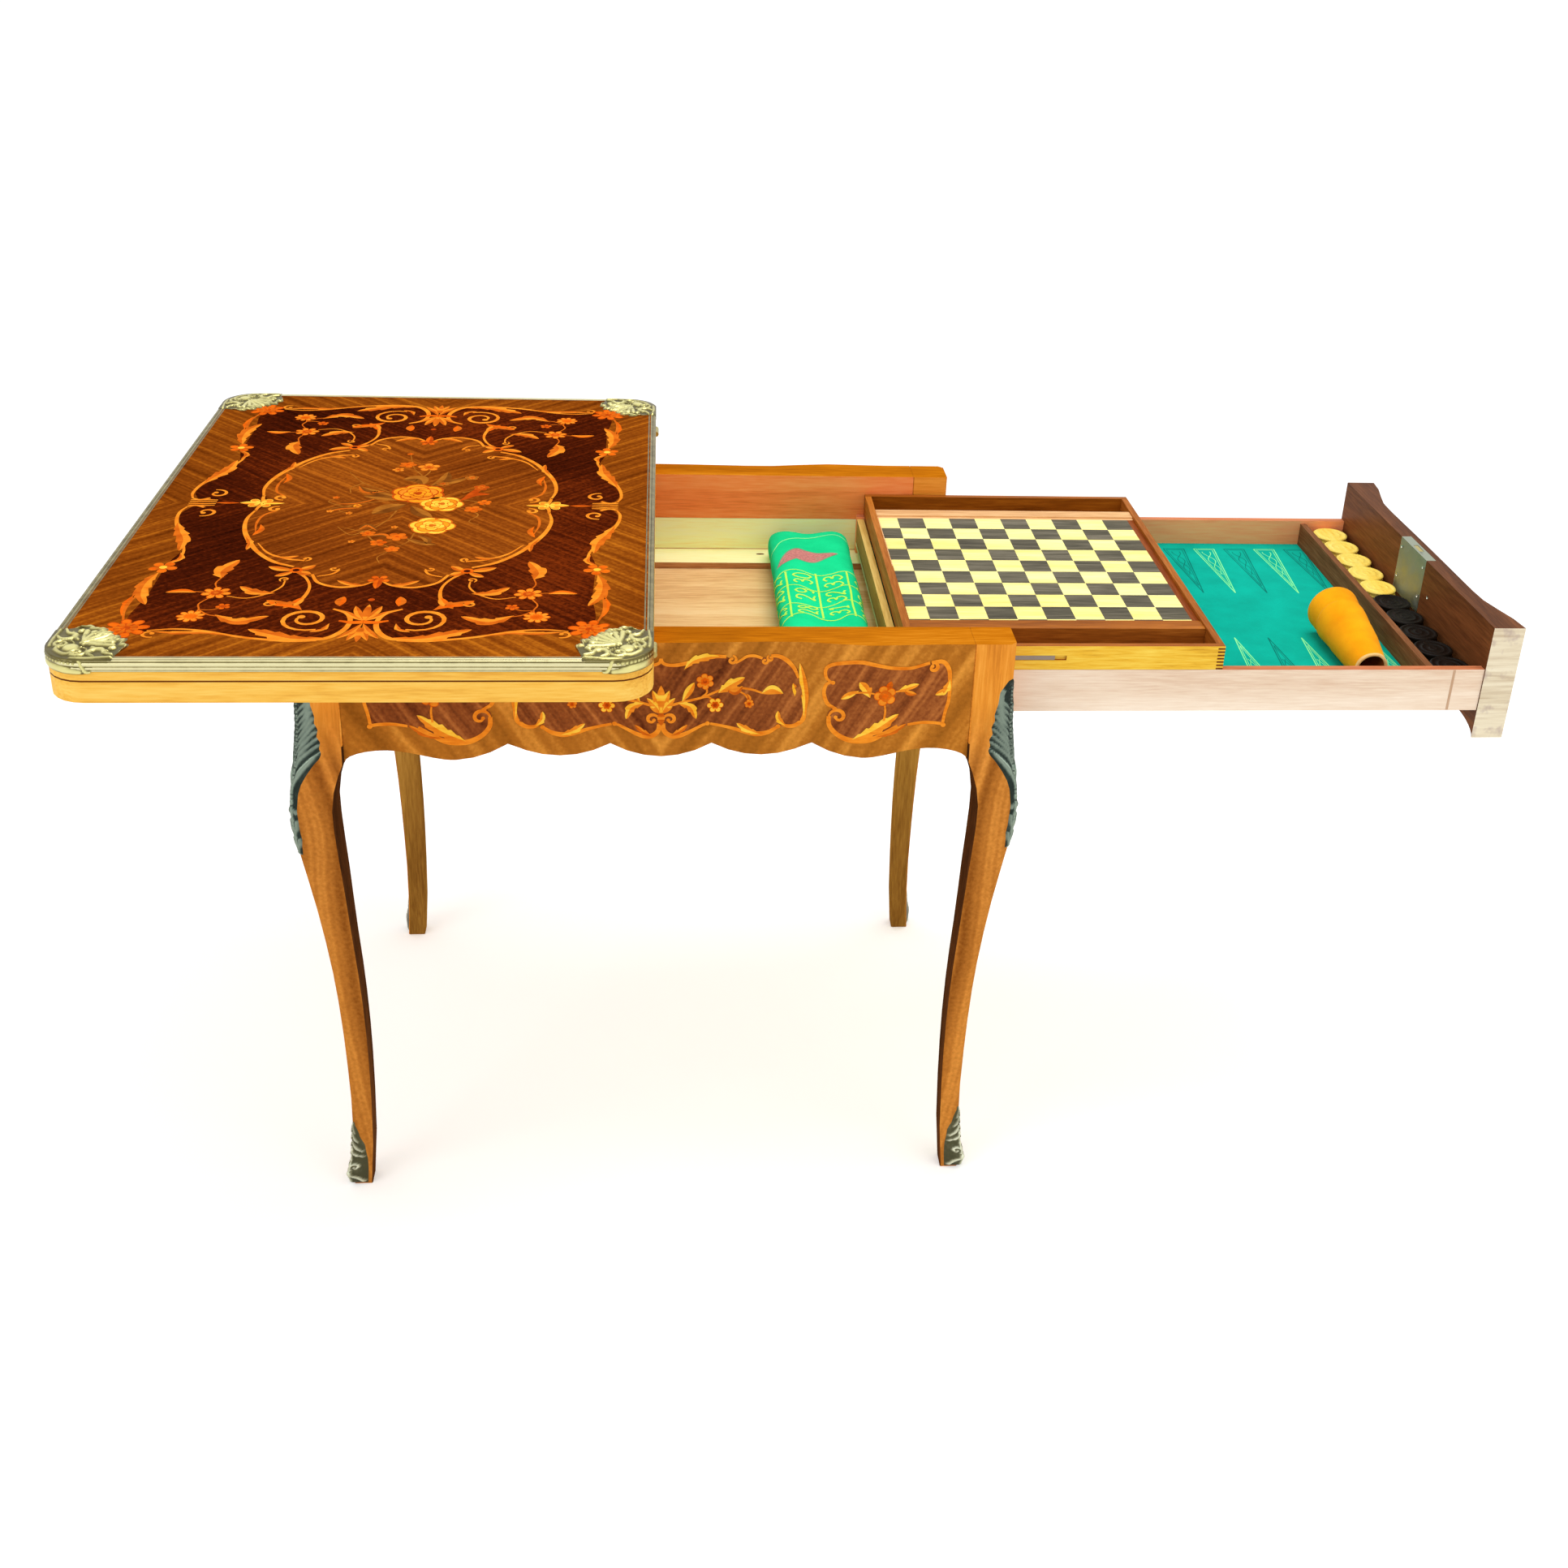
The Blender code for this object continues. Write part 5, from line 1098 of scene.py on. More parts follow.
MOUNT_ARC = 38.0
MOUNT_WING = 30.0
MOUNT_DROP = 14.3
MOUNT_LOBE = 6.5
MOUNT_SEAT = 0.6
MOUNT_SIDE_SEAT = 0.9
MOUNT_SIDE_REACH = 2.15
MOUNT_TOP_REACH = 3.95
MOUNT_COLUMNS = 97
MOUNT_SIDE_ROWS = 12
MOUNT_TOP_ROWS = 44
MOUNT_STROKES = [
    (spiral((33, 15), 11, 3, 100, -1.25), (2, 4, 4, 3), 2.2),
    (((50, 6), (44, 12), (46, 20), (54, 22), (58, 14), (66, 10)), (3, 5, 6, 4, 3), 2.2),
    (((30, 4), (44, 3), (58, 4), (70, 5)), (3, 4, 3, 3), 1.8),
    (((44, 26), (50, 22), (60, 18)), (4, 6, 3), 1.8),
]
for rib, (tip_a, tip_b) in enumerate(((62, 30), (60, 38), (57, 46))):
    spine = ((34, 33 - rib), ((34 + tip_a) / 2, (32 + tip_b) / 2), (tip_a, tip_b))
    MOUNT_STROKES.append((spine, (2, 5, 6), 2.3))
MOUNT_STROKES += [(traced(path)[:, ::-1], widths, rise) for path, widths, rise in MOUNT_STROKES]
MOUNT_STROKES += [
    (((34, 34), (45, 45), (54, 54)), (3, 6, 6), 2.6),
    (((14, 34), (12, 22), (22, 12), (34, 14)), (3, 5, 5, 3), 1.8),
]
MOUNT_BOSSES = [((25, 25), (8, 8), 2.6), ((40, 40), (3.5, 3.5), 2.9)]
MOUNT_BOSSES += [(place, (3, 3), 2.4) for place in ((62, 24), (24, 62))]
for k in range(1, 7):
    near, far = 20 + 5.4 * k, 66 - 2.2 * k
    MOUNT_BOSSES += [(place, (2.6, 2.6), 2.4) for place in ((far, near), (near, far))]
CAP_STROKES = [
    (((-30, -12), (-15, -10.5), (0, -10), (15, -10.5), (30, -12)), (5, 8, 8, 8, 5), 1.0),
    (((-31, -1), (-33, -7), (-36, -12), (-41, -13)), (3, 4, 3.4, 3), 1.1),
    (((31, -1), (33, -7), (36, -12), (41, -13)), (3, 4, 3.4, 3), 1.1),
]
CAP_BOSSES = [((-26 + 4.3 * k, -3.6), (1.9, 1.8), 0.9) for k in range(13)]


def mount_edge(s):
    """Place and outward direction on a top corner's edge, a path s from its middle."""
    half = MOUNT_ARC * pi / 4
    if abs(s) <= half:
        angle = 5 * pi / 4 + s / MOUNT_ARC
        out = (cos(angle), sin(angle))
        return (MOUNT_ARC + MOUNT_ARC * out[0], MOUNT_ARC + MOUNT_ARC * out[1]), out
    beyond = abs(s) - half
    return ((MOUNT_ARC + beyond, 0.0), (0.0, -1.0)) if s > 0 else ((0.0, MOUNT_ARC + beyond), (-1.0, 0.0))


def corner_mount_rows():
    """Rows from the casting's foot over the edge to its inner rim, round one corner, and their rises."""
    reach = MOUNT_ARC * pi / 4 + MOUNT_WING
    along = np.linspace(-reach, reach, MOUNT_COLUMNS)
    down = np.linspace(-MOUNT_DROP, -0.6, MOUNT_SIDE_ROWS)
    across = np.linspace(0.0, 1.0, MOUNT_TOP_ROWS)
    sides, tops, frames = [], [], []
    for s in along:
        (a, b), out = mount_edge(s)
        share = s / reach
        wave = MOUNT_LOBE * (abs(cos(7 * pi * share / 2)) - 0.7)
        bulge = 1 - abs(share) ** 2.2
        inner_a, inner_b = (
            22 + 34 * bulge**0.8 + (50 if sign * share > 0 else -4) * abs(share) ** 1.5 + wave * 0.7
            for sign in (1, -1)
        )
        skirt = np.interp(abs(s), (0, 33, 40, 44, reach), (1, 1, 0.9, 0.25, 0.2))
        frames.append(((a, b), out, skirt))
        sides.append([(s, z * skirt) for z in down])
        tops.append([(a + (inner_a - a) * t, b + (inner_b - b) * t) for t in across])
    shape = (MOUNT_COLUMNS, -1)
    side_rise = relief(np.reshape(sides, (-1, 2)), CAP_STROKES, CAP_BOSSES, MOUNT_SIDE_SEAT).reshape(shape)
    top_rise = relief(np.reshape(tops, (-1, 2)), MOUNT_STROKES, MOUNT_BOSSES, MOUNT_SEAT).reshape(shape)
    bead = np.clip(np.sin(pi * (across - 0.80) / 0.19), 0, None) * (across > 0.8) * 2.0
    rows, rises = [], []
    for i, ((a, b), out, skirt) in enumerate(frames):
        fade = min(1.0, (MOUNT_COLUMNS - 1 - i) / 3, i / 3)
        border = bead * (0.55 + 0.45 * abs(cos(10.5 * pi * along[i] / reach)))
        top_rise[i] = np.maximum(top_rise[i], MOUNT_SEAT + border)
        row = [(a, b, sides[i][0][1])]
        for j, z in enumerate(down):
            stand = min(MOUNT_SIDE_REACH, side_rise[i][j]) * fade
            row.append((a + out[0] * stand, b + out[1] * stand, z * skirt))
        for j, t in enumerate(across):
            rim = min(1.0, (1 - t) * 14) * fade
            ease = min(1.0, 0.35 + t * 5)
            proud = max(0, 1.0 - t * 30)
            up = min(MOUNT_TOP_REACH, top_rise[i][j] * ease) * rim
            row.append((tops[i][j][0] + out[0] * proud, tops[i][j][1] + out[1] * proud, up))
        rows.append(row)
        side_levels = (side_rise[i] - MOUNT_SIDE_SEAT) / 1.1 * 0.8 + 0.2
        rises.append([0.0, *side_levels, *((top_rise[i] - MOUNT_SEAT) / 2.9 + 0.12)])
    return rows, rises


def add_corner_mounts():
    """The four corner castings, of which those on the hinge side stop short of the fold."""
    rows, rises = corner_mount_rows()
    for corner in CORNERS:
        end, side = corner.split("_")
        turn_x, turn_y = (1 if side == "left" else -1), (1 if end == "front" else -1)
        x0 = TOP_LOW[0] if side == "left" else TOP_HIGH[0]
        y0 = TOP_LOW[1] if end == "front" else TOP_HIGH[1]
        placed = [
            [(min(x0 + turn_x * a * MM, FOLD_LIMIT), y0 + turn_y * b * MM, TOP_Z + z * MM) for a, b, z in row]
            for row in rows
        ]
        name = f"corner_casting_{corner}"
        mesh = grid_mesh(name, placed, CAST_BRASS, turn_x * turn_y < 0, rises)
        place_piece(name, mesh, "top_upper", "aged_brass", f"corner_mount_{corner}")


def solid_tree(name):
    """A search tree over a CAD node's faces."""
    mesh = NODES[name].data
    return BVHTree.FromPolygons([v.co[:] for v in mesh.vertices], [p.vertices[:] for p in mesh.polygons])


def leg_casting(name, corner, heights, half_widths, strokes, bosses, lift, look, replaced, toe=None):
    """A casting that hugs the outer corner of a leg. Places on it are (across, up) in millimetres."""
    end, side = corner.split("_")
    out = Vector(((-1 if side == "left" else 1), (-1 if end == "front" else 1), 0)).normalized()
    across = Vector((-out.y, out.x, 0))
    tree = solid_tree(f"leg_{corner}")
    low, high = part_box(f"leg_{corner}")
    middle = Vector(((low[0] + high[0]) / 2, (low[1] + high[1]) / 2, 0))
    tip = Vector((low[0] if side == "left" else high[0], low[1] if end == "front" else high[1], 0))
    corner_line = middle + out * (tip - middle).dot(out)
    lines = np.linspace(heights[0], heights[-1], int((heights[-1] - heights[0]) / CASTING_PITCH))
    shares = np.linspace(-1, 1, CASTING_COLUMNS)
    plan = np.array([[(t * np.interp(z, heights, half_widths), z) for t in shares] for z in lines])
    rise = relief(plan.reshape(-1, 2), strokes, bosses, CASTING_SEAT).reshape(len(lines), -1)
    rows = []
    for i, z in enumerate(lines):
        row = []
        for j, t in enumerate(shares):
            start = corner_line + across * plan[i][j][0] * MM + out * 0.1
            start.z = z * MM
            hit = tree.ray_cast(start, -out)[0] or tree.find_nearest(start)[0]
            edge = min(1.0, (1 - abs(t)) * 9, (i + 0.3) / 2, (len(lines) - 0.7 - i) / 2)
            stand = rise[i][j] * edge + lift * edge
            if toe:
                stand += toe(z) * edge * (1 - t * t * 0.6)
            row.append(hit + out * stand * MM)
        rows.append(row)
    mesh = grid_mesh(f"{name}_{corner}", rows, look, False, (rise - CASTING_SEAT) / 2.2)
    place_piece(f"{name}_{corner}", mesh, "base", "patinated_bronze", replaced)


def both_sides(strokes):
    """Strokes and their mirror images across a leg's corner."""
    return strokes + [([(-a, z) for a, z in path], widths, rise) for path, widths, rise in strokes]


CASTING_PITCH = 1.6
CASTING_COLUMNS = 27
CASTING_SEAT = 1.2


KNEE_HEIGHTS = (469, 478, 490, 508, 527, 545, 556, 566, 577, 585, 590, 596, 603, 609, 617, 624, 632, 645, 658,
                672)
KNEE_HALVES = (1.4, 3.5, 5.3, 5.1, 5, 5.7, 7.1, 10, 14, 18.4, 19.4, 17.6, 18.2, 15.2, 15.8, 13.2, 13.6, 11,
               10, 4.2)
KNEE_RIBS = [
    (((1.5, 574 + 8 * k), (6 + k * 0.5, 586 + 8 * k), (17 - k * 1.1, 600 + 7.6 * k)), (2, 4.6, 3.6), 1.7)
    for k in range(9)
]
KNEE_STROKES = both_sides(KNEE_RIBS + [
    (((0, 552), (5, 568), (11, 580), (18.4, 592)), (3, 6, 5, 2), 2.1),
    (((0, 520), (3, 528), (5, 523)), (3, 3.4, 2), 1.6),
    (((0, 474), (3, 484), (4.4, 492)), (3, 4, 2), 1.8),
    (((0, 494), (3.2, 503), (4.4, 515)), (3, 4, 2), 1.8),
])
KNEE_STROKES.append((((0, 470), (0, 510), (0, 560), (0, 610), (0, 664)), (3, 4.4, 4, 3.4, 2.4), 2.8))
KNEE_BOSSES = [((0, 482 + 11 * k), (3.0, 3.4), 2.9) for k in range(6)]
SABOT_HEIGHTS = (1.5, 8, 14, 20, 28, 36, 45, 55, 65, 75, 82, 87.5)
SABOT_HALVES = (12.7, 12.7, 12.7, 12.7, 12.4, 12, 10.6, 9.6, 6.0, 4.4, 2.6, 1.0)
SABOT_STROKES = both_sides([
    (spiral((5.2, 27), 5.4, 1.2, 250, -1.1), (1.5, 2.6, 2.4, 1.6), 2.0),
    (((1, 60), (4.5, 52), (9, 47)), (2, 3.4, 2.4), 1.7), (((0.5, 72), (3, 64), (5.4, 60)), (2, 3, 2), 1.5),
    (((2, 16), (7, 12), (11, 5)), (3, 4.4, 3), 2.0), (((1, 46), (5, 42), (10, 40)), (2.4, 3.4, 2), 1.8),
    (((0, 86), (1.6, 78), (3, 72)), (1.6, 2.4, 1.6), 1.2),
]) + [(((0, 4), (0, 20), (0, 46), (0, 84)), (5, 4, 3.4, 1.6), 1.8)]
SABOT_BOSSES = [((0, 18), (3.6, 4), 2.6), ((0, 50), (2.4, 3.4), 2.2), ((0, 36), (2, 2.6), 2.2)]


TOE_HEIGHTS = (1.5, 8, 15, 19, 24, 36, 50, 60, 70, 87)
TOE_REACHES = (2.2, 4.0, 7.0, 7.0, 5.8, 2.6, 1.8, 1.2, 0.6, 0.0)


def toe_reach(z):
    """How far the shoe's toe stands forward at a height."""
    return float(np.interp(z, TOE_HEIGHTS, TOE_REACHES))


def add_leg_castings():
    """A chute on each knee and a shoe on each foot."""
    for corner in CORNERS:
        leg_casting("chute", corner, KNEE_HEIGHTS, KNEE_HALVES, KNEE_STROKES, KNEE_BOSSES, 0.3,
                    CAST_BRONZE, f"knee_mount_{corner}")
        leg_casting("shoe", corner, SABOT_HEIGHTS, SABOT_HALVES, SABOT_STROKES, SABOT_BOSSES, 0.2,
                    CAST_SHOE, f"sabot_{corner}", toe_reach)


# The bright tones are painted highlights, and the deep ones patina and painted shade.
MOULDING_BRASS = cast("moulding_brass", *shades((236, 228, 178), (178, 166, 118), (78, 68, 38)))
CAST_BRASS = cast("cast_brass", *shades((234, 226, 152), (138, 128, 78), (84, 76, 42)))
CAST_BRONZE = cast("cast_bronze", *shades((140, 154, 138), (84, 97, 88), (44, 53, 48)))
CAST_SHOE = cast("cast_shoe", *shades((234, 238, 212), (138, 138, 112), (84, 84, 62)))
add_moulding()
add_corner_mounts()
add_leg_castings()

# Marquetry of the friezes, in millimetres across from the frieze's middle and up from the ground

HIGH_LIFT = 3.0
FACE_LIFT = 0.0002
FRONT_VIEWS = {
    "frieze_front": ((1, 0), (0, 1), (MIDDLE_X, -1)),
    "frieze_back": ((-1, 0), (0, -1), (MIDDLE_X, 1)),
    "frieze_left": ((0, -1), (1, 0), (-1.2, 0)),
    "drawer_front": ((0, 1), (-1, 0), (1.2, 0)),
}


def on_face_of(node):
    """Lay of shapes on an upright outer face, which may be bowed."""
    right, inward, start = FRONT_VIEWS[node]
    tree = solid_tree(node)
    ray = Vector((*inward, 0.0))

    def lay(u, v, lift):
        begin = Vector((start[0] + right[0] * u, start[1] + right[1] * u, v))
        hit = tree.ray_cast(begin, ray)[0] or tree.find_nearest(begin)[0]
        return hit - ray * (lift * HIGH_LIFT + FACE_LIFT)

    return lay


SIDE_RIM = (
    (175, 672), (173, 685), (180, 691), (198, 694), (213, 695), (229, 691), (244, 688), (262, 688),
    (274, 691), (286, 694), (298, 693), (305, 684), (306, 664), (306, 647), (302, 634), (301, 620),
    (278, 622), (263, 620), (248, 616), (236, 609), (218, 602), (203, 602), (187, 609), (178, 622),
    (177, 634), (181, 640), (175, 650), (172, 660),
)
MIDDLE_RIM = (
    (0, 615), (3.5, 611), (10, 606), (17, 605.5), (26, 608.5), (35, 613.5), (44, 618.5), (50, 620.5),
    (65, 617), (77, 613.5), (89, 609.5), (102, 606.5), (114, 608.5), (124, 616), (132, 616.5), (142, 617),
    (150, 624), (152.5, 636), (151.5, 655), (148.5, 672), (143, 684), (132, 693.5), (123, 698), (107, 697),
    (98, 699), (88, 698), (80, 693), (67, 698.5), (55, 698.5), (40, 695.5), (28, 691.5), (17, 689.5),
    (5, 690), (0, 695),
)
LIT = ("yellow", "gold")


def add_side_panels(art):
    """The small scrolled panels at the ends of a long frieze."""
    art.filled(SIDE_RIM, "panel", 0, 8)
    art.stroke(((181, 669), (174, 675), (173, 685), (180, 691), (198, 694.5), (213, 695), (229, 691.5),
                (244, 688.5),
                (262, 688), (274, 691), (283, 694)), (1.6, 2.4, 2.6, 3, 3.2, 2.8, 2.6, 2.4, 2.6))
    volute(art, (287, 688.5), 6.5, 110, -0.95, 3)
    art.stroke(((285, 694), (297, 695), (304, 686), (306, 670), (306, 650), (303, 635), (301, 620)),
               (3, 3.4, 3, 2.6, 2.4, 2.2))
    art.leaf(((306, 675), (302, 662), (291, 656)), 10, 2, LIT)
    art.leaf(((304, 664), (300, 658), (296, 662)), 5, 0, LIT)
    art.disc((302, 620), 2.8, "gold")
    art.stroke(((302, 621), (291, 622.5), (278, 623), (263, 621)), (2.4, 2.6, 2.4, 2))
    art.stroke(((252, 620), (240, 612), (228, 605), (214, 602), (200, 602.5), (187, 609), (179, 619),
                (178, 630)),
               (2, 3.2, 4.4, 4.4, 3.8, 3.4, 3))
    volute(art, (188, 630), 10, 180, -0.95, 3)
    art.leaf(((204, 603), (229, 616), (253, 634)), 17, 5, LIT)
    art.leaf(((230, 607), (246, 612), (262, 622)), 8, 3)
    art.stroke(((184, 640), (176, 645), (172, 657), (174, 667), (180, 671)), (2, 3, 2.6, 2.4, 2))
    art.disc((184, 639), 2.6, "gold")
    art.disc((181, 670), 2.4, "gold")
    art.petals((237, 656), 11.5, 5, "gold", 0.5, 0.6, 4, 1.0, "orange")
    art.petals((237, 656), 6.5, 4, "amber", 0.5, 0.2, 8, 1.0, "orange")
    art.leaf(((238, 661), (241, 667), (243, 673)), 7, 0, ("orange", "amber"))
    art.stroke(((237, 646), (238, 637), (237, 626)), (1.2, 1.6, 1.6), "gold", 3)
    art.stroke(((228, 658), (218, 660), (205, 659), (198, 656)), (1.2, 1.4, 1.2), "gold", 3)
    art.leaf(((221, 654), (216, 664), (209, 672)), 14, 2, LIT)
    art.leaf(((209, 662), (200, 657), (190, 651)), 8, 1, LIT)
    art.stroke(((246, 660), (258, 663)), (1.4, 1.4), "gold", 3)
    art.leaf(((249, 660), (261, 665), (273, 669)), 9, 2, LIT)
    art.leaf(((256, 663), (262, 659), (271, 657)), 7, 1)


def add_middle_panel(art):
    """The long scrolled panel in the middle of a frieze."""
    rim = MIDDLE_RIM + tuple((-u, v) for u, v in MIDDLE_RIM[-2:0:-1])
    art.filled(rim, "panel", 0, 8, ONCE, (0, 650))
    art.stroke(((0, 697), (2, 692), (8, 689.5), (17, 689.5), (28, 692), (40, 696), (55, 699), (68, 698.5)),
               (2, 2.4, 2.6, 3, 3, 3, 2.6))
    art.leaf(((24, 684), (33, 694), (46, 698), (61, 699)), 11, 4, LIT)
    volute(art, (74, 694.5), 5.5, 80, -0.95, 2.4)
    art.stroke(((78, 691), (83, 694), (90, 698.5), (98, 699), (106, 696)), (1.6, 2, 2.4, 2))
    volute(art, (108.5, 693), 4.4, 60, -0.9, 2)
    volute(art, (114.5, 696), 4, 120, 0.9, 2)
    art.stroke(((115, 699), (123, 698.5), (132, 693.5), (140, 684), (144.5, 673)), (2.4, 3, 3.4, 2.6, 1.6))
    art.leaf(((152, 626), (152.5, 648), (149.5, 670), (145.5, 691)), 8.5, 0, LIT)
    art.leaf(((152, 640), (145, 652), (139, 667)), 10, 2, LIT)
    art.stroke(((152.5, 636), (150.5, 624), (142, 616.5), (132, 616.5), (126, 622)), (3, 3.4, 3.2, 2.6, 2))
    art.leaf(((133, 616), (125, 624), (124, 634)), 8, 2, LIT)
    art.disc((124.5, 615.5), 2.6, "gold")
    art.stroke(((124, 615), (114, 608.5), (102, 606.5), (89, 609.5), (77, 613.5), (65, 617), (52, 620)),
               (2.4, 3.4, 4, 3.4, 2.6, 2.2, 2))
    art.leaf(((106, 606), (91, 612), (80, 620)), 9, 3, LIT)
    art.disc((49, 620.5), 2.6, "gold")
    art.stroke(((48, 620), (44, 618.5), (35, 613.5), (26, 608.5), (17, 605.5), (9, 606.5), (3, 612.5),
                (2, 621)),
               (2, 2.2, 2.6, 3.4, 4, 3.6, 3))
    volute(art, (9.5, 625.5), 7.5, 180, -0.95, 2.8)
    art.leaf(((10, 606), (19, 611), (28, 619)), 7, 2)
    for tip_u, tip_v, width in ((0, 666, 9), (9, 660, 8), (15, 651, 7), (12, 641, 6)):
        art.leaf(((0, 633), (tip_u * 0.4, (633 + tip_v) / 2), (tip_u, tip_v)), width, 0, LIT, 4)
    art.leaf(((0, 636), (0, 628), (0, 618)), 8, 0)
    art.stroke(((6, 641), (23, 646), (44, 651.5), (61, 659), (76, 662), (94, 660), (109, 655), (126, 655)),
               (2.2, 2, 1.8, 1.8, 1.8, 1.6, 1.2), "gold")
    art.leaf(((106, 655), (117, 660), (129, 654.5)), 9, 0, LIT)
    art.leaf(((22, 646), (28, 657), (35, 669)), 10, 1, LIT)
    art.leaf(((17, 645), (31, 640), (37, 626)), 11, 3, LIT)
    art.leaf(((60, 656), (72, 665), (88, 674)), 14, 3, LIT)
    art.leaf(((68, 661), (78, 657), (86, 664)), 7, 0)
    for stem in (((42, 651), (48, 657), (47, 664)), ((42, 651), (50, 651.5), (55, 647)),
                 ((76, 661), (88, 654), (93, 646))):
        art.stroke(stem, (1.4, 1.4), "gold")
    for centre, radius, tone in (((46, 670), 9, "gold"), ((57, 642), 8.4, "yellow"), ((93, 643), 5, "gold")):
        art.petals(centre, radius, 6, tone, 0.5, radius, 3, 1.0, "orange")
        art.disc(centre, radius * 0.24, "rust", 6)
    art.leaf(((90, 655), (93, 650), (93, 645)), 4, 0)


def add_frieze_marquetry():
    """The panels of every frieze, of which only the long ones have small panels at their ends."""
    for node in FRONT_VIEWS:
        body = "drawer" if node == "drawer_front" else "base"
        art = Inlay(f"marquetry_{node}", on_face_of(node), body, "marquetry_wood", INLAY_WOODS, HALVES, 1.5)
        add_middle_panel(art)
        if node in ("frieze_front", "frieze_back"):
            add_side_panels(art)
        art.finish()


add_frieze_marquetry()

# Draughts board, backgammon bed and the other drawn faces of the drawer and tray

BOARD_SQUARE = 33.5
BOARD_DEPTH = 35.0
BOARD_BACK = 159.4
BOARD_COLUMNS = (277.0, *(300.8 + BOARD_SQUARE * k for k in range(10)))
BOARD_ROWS = (BOARD_BACK, *(BOARD_BACK - BOARD_DEPTH * k for k in range(1, 10)), -158.0)
BOARD_BORDER = 611.0
BOARD_LIP_DROP = 0.0020
FINGER = 4.0
TRAY_WALL = 8.0
POINT_PLACES = [684.0 + 41.5 * k for k in range(5)]
POINT_HALF = 14.0
POINTS_FAR = (205.8, 57.1)
POINTS_NEAR = (-227.0, -78.3)


def on_level(z):
    """Lay of shapes on a level face, in the base's own plan."""
    return lambda u, v, lift: (MIDDLE_X + u, v, z + lift)


def on_upright(y, turn=1):
    """Lay of shapes on an upright face that looks to the front, or to the back with turn at -1."""
    return lambda u, v, lift: (MIDDLE_X + turn * u, y - turn * lift * 2, v)


def box_of(node):
    """Low and high corner of a solid, in millimetres of the base's own plan."""
    return [[(x - MIDDLE_X) / MM, y / MM, z / MM] for x, y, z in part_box(node)]


def square(art, low, high, look):
    """A rectangle between two corners."""
    art.face(((low[0], low[1]), (high[0], low[1]), (high[0], high[1]), (low[0], high[1])), look, 0)


def add_draughts_board():
    """Light and dark squares, with a strip of border at their right end."""
    stained = shades((124, 116, 98), (92, 86, 70), (62, 58, 46))
    border = shades((168, 88, 30), (132, 62, 18), (96, 40, 10))
    woods = {
        "light": wood("board_boxwood", BOARD_TONES, "X", VENEERED, figure=2.0),
        "dark": wood("board_stained", stained, "X", VENEERED, figure=5.0),
        "border": wood("board_border", border, "Y", VENEERED),
    }
    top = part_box("tray_board")[1][2] - BOARD_LIP_DROP
    art = Inlay("draughts_board", on_level(top), "tray", "boxwood", woods)
    for i, (left, right) in enumerate(zip(BOARD_COLUMNS, BOARD_COLUMNS[1:])):
        for j, (far, near) in enumerate(zip(BOARD_ROWS, BOARD_ROWS[1:])):
            square(art, (left, near), (right, far), "dark" if (i + j) % 2 else "light")
    square(art, (BOARD_COLUMNS[-1], BOARD_ROWS[-1]), (BOARD_BORDER, BOARD_ROWS[0]), "border")
    art.finish()


def add_point(art, middle, base, apex, look):
    """One long backgammon point with an inner line and an interlaced knot."""
    depth = apex - base
    for inset, width in ((0.0, 1.3), (3.2, 0.8)):
        half = POINT_HALF - inset
        near, far = base + (0.022 * depth if inset else 0), apex - (0.15 * depth if inset else 0)
        art.stroke(((middle - half, near), (middle + half, near)), (width, width), look, 1, 2)
        for side in (-1, 1):
            art.stroke(((middle + side * half, near), (middle, far)), (width, width), look, 1, 2)
    share = np.linspace(0.07, 0.60, 30)
    for side in (-1, 1):
        swing = side * (POINT_HALF - 5.0) * (1 - share) * 0.66 * np.sin(share * 17)
        art.stroke(np.stack((middle + swing, base + depth * share), axis=1), (1.0, 1.0, 0.7), look, 2)


def add_backgammon_bed():
    """Two rows of printed points on the drawer's felt, in turns of light and dark."""
    looks = {
        "chalk": cloth_look("bed_pale_line", srgb(160, 255, 166), srgb(116, 240, 150)),
        "shade": cloth_look("bed_dark_line", srgb(0, 128, 112), srgb(0, 104, 92)),
    }
    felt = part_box("drawer_felt")[1][2]
    art = Inlay("backgammon_points", on_level(felt), "drawer", "green_baize", looks)
    for k, middle in enumerate(POINT_PLACES):
        add_point(art, middle, *POINTS_FAR, ("shade", "chalk")[k % 2])
        add_point(art, middle, *POINTS_NEAR, ("chalk", "shade")[k % 2])
    art.finish()


def add_tray_joints():
    """End grain of the finger joints at the tray's corners, on its long sides."""
    end_grain = shades((150, 92, 40), (112, 64, 26), (70, 36, 14))
    woods = {"end": wood("finger_end_grain", end_grain, "Z", 0.5, figure=6.0)}
    for node, face, turn in (("tray_side_front", 0, 1), ("tray_side_back", 1, -1)):
        corners = box_of(node)
        outer = corners[face][1] * MM
        art = Inlay(f"finger_joints_{node}", on_upright(outer, turn), "tray", "tray_walnut", woods)
        for side in (0, 1):
            edge = corners[side][0] * turn
            inner = edge + (TRAY_WALL if (side == 0) == (turn > 0) else -TRAY_WALL)
            left, right = sorted((edge, inner))
            z = corners[0][2]
            while z < corners[1][2] - FINGER:
                square(art, (left + 0.1, z + 0.2), (right, z + FINGER * 0.55), "end")
                z += FINGER
        art.finish()


